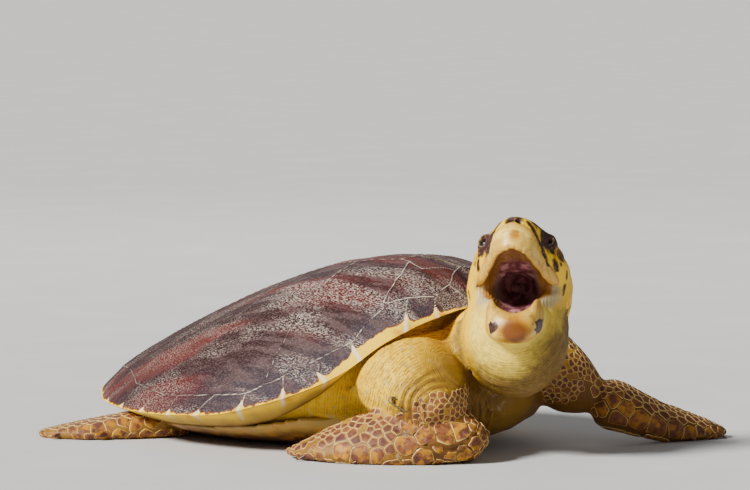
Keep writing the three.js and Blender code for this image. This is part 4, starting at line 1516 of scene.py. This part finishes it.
def skin_material(looks):
    """Soft skin: pale throat, yellow shoulders, dark lids and the lining of the mouth."""
    material, tree, shader = material_of("turtle skin", 0.5, 0.28)
    plain = place_of(tree)
    # The crease mark sets the tan mottle and how strongly the wrinkle lines, with their painted shade, show.
    warm, worn = marked(tree, "warm"), marked(tree, "crease")
    base = tint(tree, warm, looks.pale, looks.yellow)
    base = tint(tree, times(tree, speckle(tree, plain, 22, 0.5, 0.3), 0.45), base, looks.gold)
    mottle = times(tree, speckle(tree, plain, 90, 0.52, 0.16), times(tree, worn, 0.4))
    base = tint(tree, mottle, base, looks.tan)
    limb = times(tree, marked(tree, "limb"), 0.75)
    base = tint(tree, limb, base, looks.tan)
    spots = times(tree, speckle(tree, plain, 120, 0.55, 0.1), times(tree, limb, 0.4))
    base = tint(tree, spots, base, looks.umber)
    # Painted shade: umber where the shade mark lies.
    base = tint(tree, times(tree, marked(tree, "shade"), 0.85), base, looks.umber)
    ring = marked(tree, "ring")
    wrinkle = sums(tree, "MAXIMUM", crease(tree, plain, ring, 0.62), crease(tree, plain, ring, 1.07))
    lines = times(tree, wrinkle, worn)
    # Painted shade: the wrinkle lines are darkened umber along their grooves.
    base = tint(tree, times(tree, lines, 0.8), base, looks.umber)
    grey = times(tree, speckle(tree, plain, 70, 0.6, 0.05), marked(tree, "fleck"))
    base = tint(tree, times(tree, grey, 0.5), base, looks.membrane)
    brown = tint(tree, speckle(tree, plain, 130, 0.5, 0.14), looks.brown, looks.plum)
    brown = tint(tree, times(tree, speckle(tree, plain, 95, 0.6, 0.06), 0.4), brown, looks.tan)
    base = tint(tree, marked(tree, "pigment"), base, brown)
    # Painted highlight: the lower lids pale toward the membrane colour.
    base = tint(tree, times(tree, marked(tree, "lids"), 0.45), base, looks.membrane)
    lining = tint(tree, speckle(tree, plain, 60, 0.42, 0.25), looks.lining, looks.palate)
    lining = tint(tree, times(tree, marked(tree, "wall"), 0.85), lining, looks.wall)
    lining = tint(tree, span(tree, marked(tree, "rimward"), 0.8, 1.1), looks.inner, lining)
    base = tint(tree, span(tree, marked(tree, "mouth"), 0.3, 0.75), base, lining)
    moist = tint(tree, marked(tree, "mouth"), looks.membrane, looks.tan)
    base = tint(tree, times(tree, marked(tree, "membrane"), 0.9), base, moist)
    # Painted shade: the sunken nostrils are filled near black.
    base = tint(tree, marked(tree, "nostril"), base, looks.dark)
    wet = span(tree, marked(tree, "mouth"), 0.3, 0.7, 0.52, 0.3)
    tree.links.new(wet, shader.inputs["Roughness"])
    height = sums(tree, "MULTIPLY_ADD", lines, -2.2, grain(tree, plain, 300))
    cover(tree, shader, base, height, 0.55, 0.0012)
    return material


def carapace_material(looks):
    """Weathered horn: dark red-brown plates with grey flakes, pale seams and a yellow margin."""
    material, tree, shader = material_of("carapace horn", 0.5, 0.14)
    plain, streaked = place_of(tree), place_of(tree, (1, 0.16, 0.5))
    toward_head = span(tree, marked(tree, "along"), 0.6, 0.3)
    base = tint(tree, speckle(tree, streaked, 12, 0.47, 0.12), looks.dark, looks.red)
    near_margin = span(tree, marked(tree, "yellow"), -120.0, -30.0)
    slate = times(tree, near_margin, sums(tree, "MULTIPLY_ADD", toward_head, 0.65, 0.15))
    base = tint(tree, slate, base, looks.slate)
    streaks = speckle(tree, streaked, 95, 0.47, 0.12, 4.0)
    greyer = times(tree, streaks, sums(tree, "MULTIPLY_ADD", toward_head, 0.5, 0.15))
    base = tint(tree, greyer, base, looks.grey)
    more = sums(tree, "MULTIPLY_ADD", toward_head, 0.5, 0.34)
    worn = times(tree, speckle(tree, streaked, 26, 0.44, 0.16), more)
    flecks = speckle(tree, place_of(tree, (1, 0.35, 1)), 560, 0.49, 0.1, 6.0)
    flakes = times(tree, flecks, sums(tree, "MULTIPLY_ADD", worn, 0.8, 0.08))
    base = tint(tree, flakes, base, looks.flake)
    pits = speckle(tree, plain, 420, 0.54, 0.1, 5.0)
    base = tint(tree, times(tree, pits, 0.65), base, looks.dark)
    front = sums(tree, "MULTIPLY_ADD", toward_head, 0.6, 0.22)
    seam = times(tree, span(tree, marked(tree, "seam"), 0.4, 1.7, 1.0, 0.0), front)
    base = tint(tree, seam, base, looks.seam)
    groove = times(tree, span(tree, marked(tree, "seam"), 1.4, 4.5, 0.6, 0.0), 0.8)
    groove = times(tree, groove, span(tree, marked(tree, "seam"), 1.0, 2.0))
    base = tint(tree, groove, base, looks.dark)
    marginal = times(tree, span(tree, marked(tree, "marginal"), 0.5, 1.8, 0.8, 0.0), front)
    base = tint(tree, marginal, base, looks.seam)
    wander = noise(tree, plain, 120.0, 5.0)
    ragged = sums(tree, "MULTIPLY_ADD", sums(tree, "SUBTRACT", wander, 0.5), 15.0, marked(tree, "yellow"))
    base = tint(tree, span(tree, ragged, -4.5, -0.6), base, looks.rust)
    gold = tint(tree, speckle(tree, plain, 30, 0.52, 0.25), looks.yellow, looks.gold)
    flare = span(tree, marked(tree, "marginal"), 1.5, 6.0, 0.7, 0.0)
    gold = tint(tree, flare, gold, looks.seam)
    # Painted shade: the underside turns olive and then brown the further it reaches in under the rim, ragged
    # by noise.
    patches = noise(tree, plain, 22.0, 4.0)
    under = sums(tree, "MULTIPLY_ADD", sums(tree, "SUBTRACT", patches, 0.5), 0.9, marked(tree, "under"))
    gold = tint(tree, span(tree, under, 0.05, 0.7), gold, looks.olive)
    gold = tint(tree, span(tree, under, 0.55, 1.3), gold, looks.brown)
    base = tint(tree, span(tree, ragged, -0.8, 1.2), base, gold)
    rough = sums(tree, "MULTIPLY_ADD", flakes, 0.15, 0.6)
    tree.links.new(rough, shader.inputs["Roughness"])
    height = sums(tree, "MULTIPLY_ADD", flakes, 0.7, grain(tree, plain, 260))
    cover(tree, shader, base, height, 0.45, 0.001)
    return material


def belly_material(looks):
    """Smooth tan horn with painted shade, browner toward the ground."""
    material, tree, shader = material_of("belly horn", 0.45)
    plain = place_of(tree)
    # Painted shade: brown at the ground, turning olive higher up along a wavering level.
    height = add(tree, "SeparateXYZ", {"Vector": plain}).outputs["Z"]
    wander = noise(tree, plain, 24.0, 4.0)
    level = sums(tree, "MULTIPLY_ADD", sums(tree, "SUBTRACT", wander, 0.5), 0.05, height)
    base = tint(tree, span(tree, level, 0.01, 0.055), looks.brown, looks.olive)
    base = tint(tree, times(tree, speckle(tree, plain, 40, 0.48, 0.2), 0.5), base, looks.gold)
    base = tint(tree, span(tree, marked(tree, "seam"), 0.5, 2.5, 0.7, 0.0), base, looks.brown)
    cover(tree, shader, base, grain(tree, plain, 200), 0.25, 0.001)
    return material


def scale_material(name, looks):
    """Scales of the flippers: brown centres with pale edges, golden along the leading edge."""
    material, tree, shader = material_of(name, 0.52, 0.22)
    plain = place_of(tree)
    tone = tint(tree, marked(tree, "tone"), looks.brown, looks.rust)
    tone = tint(tree, times(tree, speckle(tree, plain, 130, 0.48, 0.12), 0.55), tone, looks.umber)
    golden = times(tree, marked(tree, "gold"), speckle(tree, plain, 60, 0.42, 0.2))
    tone = tint(tree, golden, tone, looks.gold)
    near_edge = span(tree, marked(tree, "edge"), 0.0, 0.6, 0.0, 0.35)
    tone = tint(tree, near_edge, tone, looks.gold)
    rim = span(tree, marked(tree, "edge"), 0.58, 0.9)
    base = tint(tree, rim, tone, looks.edge)
    cover(tree, shader, base, grain(tree, plain, 420), 0.4, 0.0008)
    return material


def head_scale_material(looks, skin):
    """Scales of the head: dark brown on the crown, yellow with brown middles on the cheeks."""
    material, tree, shader = material_of("head scales", 0.5, 0.25)
    plain = place_of(tree)
    tone = tint(tree, speckle(tree, plain, 70, 0.45, 0.2), looks.umber, looks.brown)
    pale = tint(tree, speckle(tree, plain, 30, 0.45, 0.3), skin.yellow, skin.gold)
    base = tint(tree, marked(tree, "dark"), pale, tone)
    rim = times(tree, span(tree, marked(tree, "edge"), 0.3, 0.9), 0.8)
    base = tint(tree, rim, base, skin.yellow)
    cover(tree, shader, base, grain(tree, plain, 350), 0.3, 0.0008)
    return material


def beak_material(looks, skin):
    """Horn of the beaks: cream and amber outside, brown inside the mouth."""
    material, tree, shader = material_of("beak horn", 0.4)
    plain = place_of(tree)
    inside = marked(tree, "inside")
    base = tint(tree, span(tree, inside, 2.0, 16.0, 0.75, 0.0), looks.cream, looks.straw)
    base = tint(tree, times(tree, speckle(tree, plain, 60, 0.45, 0.2), 0.6), base, looks.straw)
    base = tint(tree, span(tree, marked(tree, "amber"), 0.05, 0.6), base, skin.gold)
    base = tint(tree, span(tree, marked(tree, "amber"), 0.32, 0.85, 0.0, 0.95), base, looks.amber)
    brown = tint(tree, speckle(tree, plain, 200, 0.52, 0.12), skin.brown, skin.plum)
    ragged = sums(tree, "MULTIPLY_ADD", speckle(tree, plain, 130, 0.45, 0.2), 0.4, marked(tree, "pigment"))
    base = tint(tree, span(tree, ragged, 0.6, 0.9), base, brown)
    layered = crease(tree, plain, inside, 0.55)
    base = tint(tree, times(tree, layered, 0.45), base, looks.umber)
    line = span(tree, inside, -0.6, 2.4, 0.9, 0.0)
    base = tint(tree, line, base, skin.plum)
    inner = tint(tree, speckle(tree, plain, 50, 0.45, 0.3), skin.inner, looks.umber)
    base = tint(tree, span(tree, marked(tree, "mouth"), 0.38, 0.72), base, inner)
    cover(tree, shader, base, grain(tree, plain, 300, 0.2), 0.3, 0.0008)
    return material


def eye_material(looks):
    """A wet dark eye with a brown iris."""
    material, tree, shader = material_of("eye", 0.36, 0.3, 0.04)
    plain = place_of(tree)
    angle = marked(tree, "iris")
    iris = tint(tree, speckle(tree, plain, 900, 0.45, 0.2), looks.iris, looks.pupil)
    base = tint(tree, span(tree, angle, 17.0, 20.0), looks.pupil, iris)
    base = tint(tree, span(tree, angle, 33.0, 37.0), base, looks.white)
    tree.links.new(base, shader.inputs["Base Color"])
    return material


def tongue_material(looks):
    """Moist dark flesh."""
    material, tree, shader = material_of("mouth flesh", 0.3)
    plain = place_of(tree)
    base = tint(tree, speckle(tree, plain, 80, 0.45, 0.2), looks.lining, looks.palate)
    cover(tree, shader, base, grain(tree, plain, 380), 0.5, 0.001)
    return material


def claw_material(looks):
    """Dark horn flecked with rust."""
    material, tree, shader = material_of("claw horn", 0.3)
    plain = place_of(tree)
    base = tint(tree, speckle(tree, place_of(tree, (1, 1, 0.3)), 120, 0.45, 0.2), looks.umber, looks.rust)
    cover(tree, shader, base, grain(tree, plain, 500), 0.2, 0.0005)
    return material


def tag_material(looks):
    """Dull sea-worn metal."""
    material, tree, shader = material_of("tag metal", 0.42)
    plain = place_of(tree)
    shader.inputs["Metallic"].default_value = 0.85
    base = tint(tree, speckle(tree, plain, 160, 0.5, 0.2), looks.metal, looks.tarnish)
    cover(tree, shader, base, grain(tree, place_of(tree, (1, 0.15, 1)), 900, 0.2), 0.25, 0.0004)
    return material


class SkinLooks(bpy.types.PropertyGroup):
    """Colours of the skin and of the mouth."""
    pale: colour("Pale skin", "Throat", paint(255, 226, 92))
    yellow: colour("Yellow skin", "Cheeks, shoulders and underside", paint(250, 198, 16))
    gold: colour("Golden shade", "Soft warm patches", paint(206, 142, 14))
    tan: colour("Tan shade", "Limbs and worn patches", paint(160, 106, 40))
    # Umber also carries the painted shade of the shade mark and of the wrinkle lines.
    umber: colour("Umber", "Creases and shaded folds", paint(84, 46, 18))
    brown: colour("Brown pigment", "Lids, brow and spots", paint(52, 28, 18))
    plum: colour("Plum pigment", "Lighter flecks in the dark patches", paint(88, 56, 50))
    membrane: colour("Membrane", "Folds at the corners of the mouth", paint(172, 158, 124))
    lining: colour("Mouth lining", "Inside of the mouth", paint(100, 50, 56))
    palate: colour("Palate", "Ridges of the palate", paint(176, 122, 122))
    inner: colour("Inner rim", "Brown band inside the upper rim", paint(132, 88, 44))
    wall: colour("Mouth wall", "Sides of the mouth", paint(118, 98, 84))
    # The nostril colour is painted shade inside the sunken nostrils.
    dark: colour("Nostril", "Inside of the nostrils", paint(14, 8, 10))


class ShellLooks(bpy.types.PropertyGroup):
    """Colours of the shell."""
    dark: colour("Dark horn", "Plates of the carapace", paint(44, 18, 20))
    red: colour("Red horn", "Patches of the plates", paint(88, 28, 22))
    slate: colour("Slate", "Plates near the margin", paint(56, 46, 54))
    grey: colour("Grey horn", "Worn streaks", paint(88, 66, 64))
    flake: colour("Flakes", "Pale specks", paint(198, 184, 166))
    seam: colour("Seams", "Lines between the plates", paint(232, 222, 196))
    rust: colour("Rust", "Fringe inside the yellow margin", paint(120, 66, 24))
    yellow: colour("Margin", "Yellow edge of the shell", paint(252, 204, 30))
    gold: colour("Gold", "Shades of the margin and underside", paint(190, 130, 26))
    # Olive is the belly's side colour and the first step of the painted shade under the rim; brown is painted
    # shade under the rim and near the ground.
    olive: colour("Olive", "Sides of the belly", paint(176, 140, 52))
    brown: colour("Brown", "Belly near the ground", paint(96, 54, 28))


class ScaleLooks(bpy.types.PropertyGroup):
    """Colours of the scales, claws and tag."""
    umber: colour("Umber", "Darkest flecks and claws", paint(70, 36, 20))
    brown: colour("Brown", "Darker scales", paint(98, 58, 48))
    rust: colour("Rust", "Lighter scales", paint(134, 80, 48))
    gold: colour("Gold", "Scales of the leading edge", paint(192, 130, 24))
    edge: colour("Edge", "Pale rims", paint(228, 200, 128))
    metal: colour("Tag", "Metal of the flipper tag", paint(150, 148, 140))
    tarnish: colour("Tarnish", "Dull spots of the tag", paint(92, 84, 74))


class BeakLooks(bpy.types.PropertyGroup):
    """Colours of the beaks and eyes."""
    cream: colour("Cream", "Rims of the beaks", paint(250, 212, 96))
    straw: colour("Straw", "Shades of the beaks", paint(196, 138, 30))
    amber: colour("Amber", "Middle of the beaks", paint(118, 60, 0))
    umber: colour("Umber", "Inside of the beaks", paint(128, 76, 34))
    iris: colour("Iris", "Iris of the eyes", paint(44, 22, 16))
    pupil: colour("Pupil", "Pupil of the eyes", paint(6, 4, 6))
    white: colour("Sclera", "Eyeball under the lids", paint(60, 42, 36))


# ---------------------------------------------------------------- stage
CAMERA_PLACE = (-6.354, -4.888, 1.036)
CAMERA_AIM = (0.0557, -0.1474, 0.3511)
CAMERA_LENS = 207.2  # mm, on a sensor 36 mm wide
CAMERA_SENSOR = 36
CAMERA_SIGHT = 400  # metres
FLOOR_REACH = 120
LIGHTS_AIM = (0, -0.1, 0.15)


def aim(thing, place, target):
    """Puts a camera or light at a place, turned toward a target."""
    thing.location = place
    thing.rotation_mode = "QUATERNION"
    thing.rotation_quaternion = (Vector(target) - Vector(place)).to_track_quat("-Z", "Y")


def put_light(name, kind, place, power, size):
    """A soft light that faces the animal. Size is an angle for the sun and a width for a square."""
    lamp = bpy.data.lights.new(name, kind)
    lamp.energy = power
    if kind == "SUN":
        lamp.angle = size
    else:
        lamp.size = size
    thing = bpy.data.objects.new(name, lamp)
    bpy.context.scene.collection.objects.link(thing)
    aim(thing, place, LIGHTS_AIM)


def build_stage(looks):
    """A pale floor, soft light and the camera."""
    bm = bmesh.new()
    bmesh.ops.create_grid(bm, x_segments=1, y_segments=1, size=FLOOR_REACH)
    floor = new_piece("floor", bm)
    material, tree, shader = material_of("floor", 0.75)
    shade = tint(tree, speckle(tree, place_of(tree), 4, 0.4, 0.4), paint(204, 202, 198), paint(210, 208, 204))
    tree.links.new(shade, shader.inputs["Base Color"])
    floor.data.materials.append(material)
    put_light("key light", "SUN", (-5.3, 1.85, 4.4), looks.key, math.radians(looks.softness))
    put_light("fill light", "AREA", (-1.5, -6.0, 2.4), looks.fill, 3.0)
    put_light("rim light", "AREA", (3.0, 3.5, 3.0), looks.rim, 2.5)
    world = bpy.data.worlds.new("studio")
    bpy.context.scene.world = world
    world.use_nodes = True
    background = world.node_tree.nodes["Background"]
    background.inputs["Color"].default_value = (*paint(228, 232, 240), 1)
    background.inputs["Strength"].default_value = looks.air
    lens = bpy.data.cameras.new("camera")
    lens.lens = CAMERA_LENS
    lens.sensor_width = CAMERA_SENSOR
    lens.clip_end = CAMERA_SIGHT
    camera = bpy.data.objects.new("camera", lens)
    bpy.context.scene.collection.objects.link(camera)
    aim(camera, CAMERA_PLACE, CAMERA_AIM)
    bpy.context.scene.camera = camera


class StageLooks(bpy.types.PropertyGroup):
    """Strengths of the lights."""
    key: FloatProperty(name="Key light", description="Strength of the main light", default=7.2, min=0)
    softness: FloatProperty(
        name="Softness", description="Degrees across of the main light", default=14, min=0, max=90)
    fill: FloatProperty(
        name="Fill light", description="Power of the light from the front", default=20, min=0, unit="POWER")
    rim: FloatProperty(
        name="Rim light", description="Power of the light from behind", default=40, min=0, unit="POWER")
    air: FloatProperty(name="Surroundings", description="Strength of the even light", default=0.24, min=0)


# ---------------------------------------------------------------- operators
class TURTLE_OT_skin(bpy.types.Operator):
    """Builds the one skin over head, neck, trunk, limbs and tail"""
    bl_idname = "turtle.skin"
    bl_label = "Skin"

    def execute(self, context):
        build_skin(context.scene.turtle_skin)
        return {"FINISHED"}


class TURTLE_OT_beaks(bpy.types.Operator):
    """Sheathes both jaws in horn"""
    bl_idname = "turtle.beaks"
    bl_label = "Beaks"

    def execute(self, context):
        material = beak_material(context.scene.turtle_beak, context.scene.turtle_skin)
        horn_sheath("upper_beak", upper_horn, 1.6, material, "beak_upper")
        horn_sheath("lower_beak", lower_horn, 1.6, material, "beak_lower")
        return {"FINISHED"}


class TURTLE_OT_eyes(bpy.types.Operator):
    """Builds the eyeballs"""
    bl_idname = "turtle.eyes"
    bl_label = "Eyes"

    def execute(self, context):
        for side in SIDES:
            build_eye(side, context.scene.turtle_beak)
        return {"FINISHED"}


class TURTLE_OT_tongue(bpy.types.Operator):
    """Builds the tongue"""
    bl_idname = "turtle.tongue"
    bl_label = "Tongue"

    def execute(self, context):
        piece = rounded_copy("tongue", "tongue_flesh", 3)
        finish(piece, tongue_material(context.scene.turtle_skin), "mouth_flesh", "tongue")
        return {"FINISHED"}


class TURTLE_OT_carapace(bpy.types.Operator):
    """Builds the plates of the carapace"""
    bl_idname = "turtle.carapace"
    bl_label = "Carapace"

    def execute(self, context):
        build_carapace(context.scene.turtle_shell)
        return {"FINISHED"}


class TURTLE_OT_belly(bpy.types.Operator):
    """Builds the plates of the belly"""
    bl_idname = "turtle.belly"
    bl_label = "Belly"

    def execute(self, context):
        build_belly(context.scene.turtle_shell)
        return {"FINISHED"}


class TURTLE_OT_limb_scales(bpy.types.Operator):
    """Lays the scales on the flippers and arms"""
    bl_idname = "turtle.limb_scales"
    bl_label = "Limb scales"

    def execute(self, context):
        material = scale_material("limb scales", context.scene.turtle_scales)
        for side in SIDES:
            for end in ("front", "hind"):
                finish(build_flipper_scales(side, end), material, "flipper_scales")
            finish(build_arm_scales(side), material, "flipper_scales")
        return {"FINISHED"}


class TURTLE_OT_head_scales(bpy.types.Operator):
    """Lays the plates on the head"""
    bl_idname = "turtle.head_scales"
    bl_label = "Head scales"

    def execute(self, context):
        material = head_scale_material(context.scene.turtle_scales, context.scene.turtle_skin)
        finish(build_head_scales(), material, "head_skin")
        return {"FINISHED"}


class TURTLE_OT_claws(bpy.types.Operator):
    """Builds the claws of the four flippers"""
    bl_idname = "turtle.claws"
    bl_label = "Claws"

    def execute(self, context):
        material = claw_material(context.scene.turtle_scales)
        for node in [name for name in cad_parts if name.startswith("claw_")]:
            finish(rounded_copy(node, node + "_horn"), material, "claw_horn", node)
        return {"FINISHED"}


class TURTLE_OT_tag(bpy.types.Operator):
    """Gives the flipper tag its metal"""
    bl_idname = "turtle.tag"
    bl_label = "Flipper tag"

    def execute(self, context):
        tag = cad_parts["flipper_tag"].data
        tag.materials.clear()
        tag.materials.append(tag_material(context.scene.turtle_scales))
        return {"FINISHED"}


class TURTLE_OT_stage(bpy.types.Operator):
    """Sets the floor, lights and camera"""
    bl_idname = "turtle.stage"
    bl_label = "Stage"

    def execute(self, context):
        build_stage(context.scene.turtle_stage)
        return {"FINISHED"}


class TURTLE_PT_panel(bpy.types.Panel):
    """Lists the steps that build the turtle"""
    bl_label = "Turtle"
    bl_idname = "TURTLE_PT_panel"
    bl_space_type = "VIEW_3D"
    bl_region_type = "UI"
    bl_category = "Turtle"

    def draw(self, context):
        for step in STEPS:
            self.layout.operator(step.bl_idname)


STEPS = (
    TURTLE_OT_stage, TURTLE_OT_skin, TURTLE_OT_beaks, TURTLE_OT_eyes, TURTLE_OT_tongue, TURTLE_OT_carapace,
    TURTLE_OT_belly, TURTLE_OT_limb_scales, TURTLE_OT_head_scales, TURTLE_OT_claws, TURTLE_OT_tag,
)
LOOKS = {
    "turtle_skin": SkinLooks, "turtle_shell": ShellLooks, "turtle_scales": ScaleLooks,
    "turtle_beak": BeakLooks, "turtle_stage": StageLooks,
}


def register():
    for looks in LOOKS.values():
        bpy.utils.register_class(looks)
    for part in (*STEPS, TURTLE_PT_panel):
        bpy.utils.register_class(part)
    for name, looks in LOOKS.items():
        setattr(bpy.types.Scene, name, PointerProperty(type=looks))


def unregister():
    for name in LOOKS:
        delattr(bpy.types.Scene, name)
    for part in (*LOOKS.values(), *STEPS, TURTLE_PT_panel):
        bpy.utils.unregister_class(part)


def main():
    """Builds the model in order."""
    register()
    for step in STEPS:
        group_name, action = step.bl_idname.split(".")
        getattr(getattr(bpy.ops, group_name), action)()


if __name__ == "__main__":
    main()
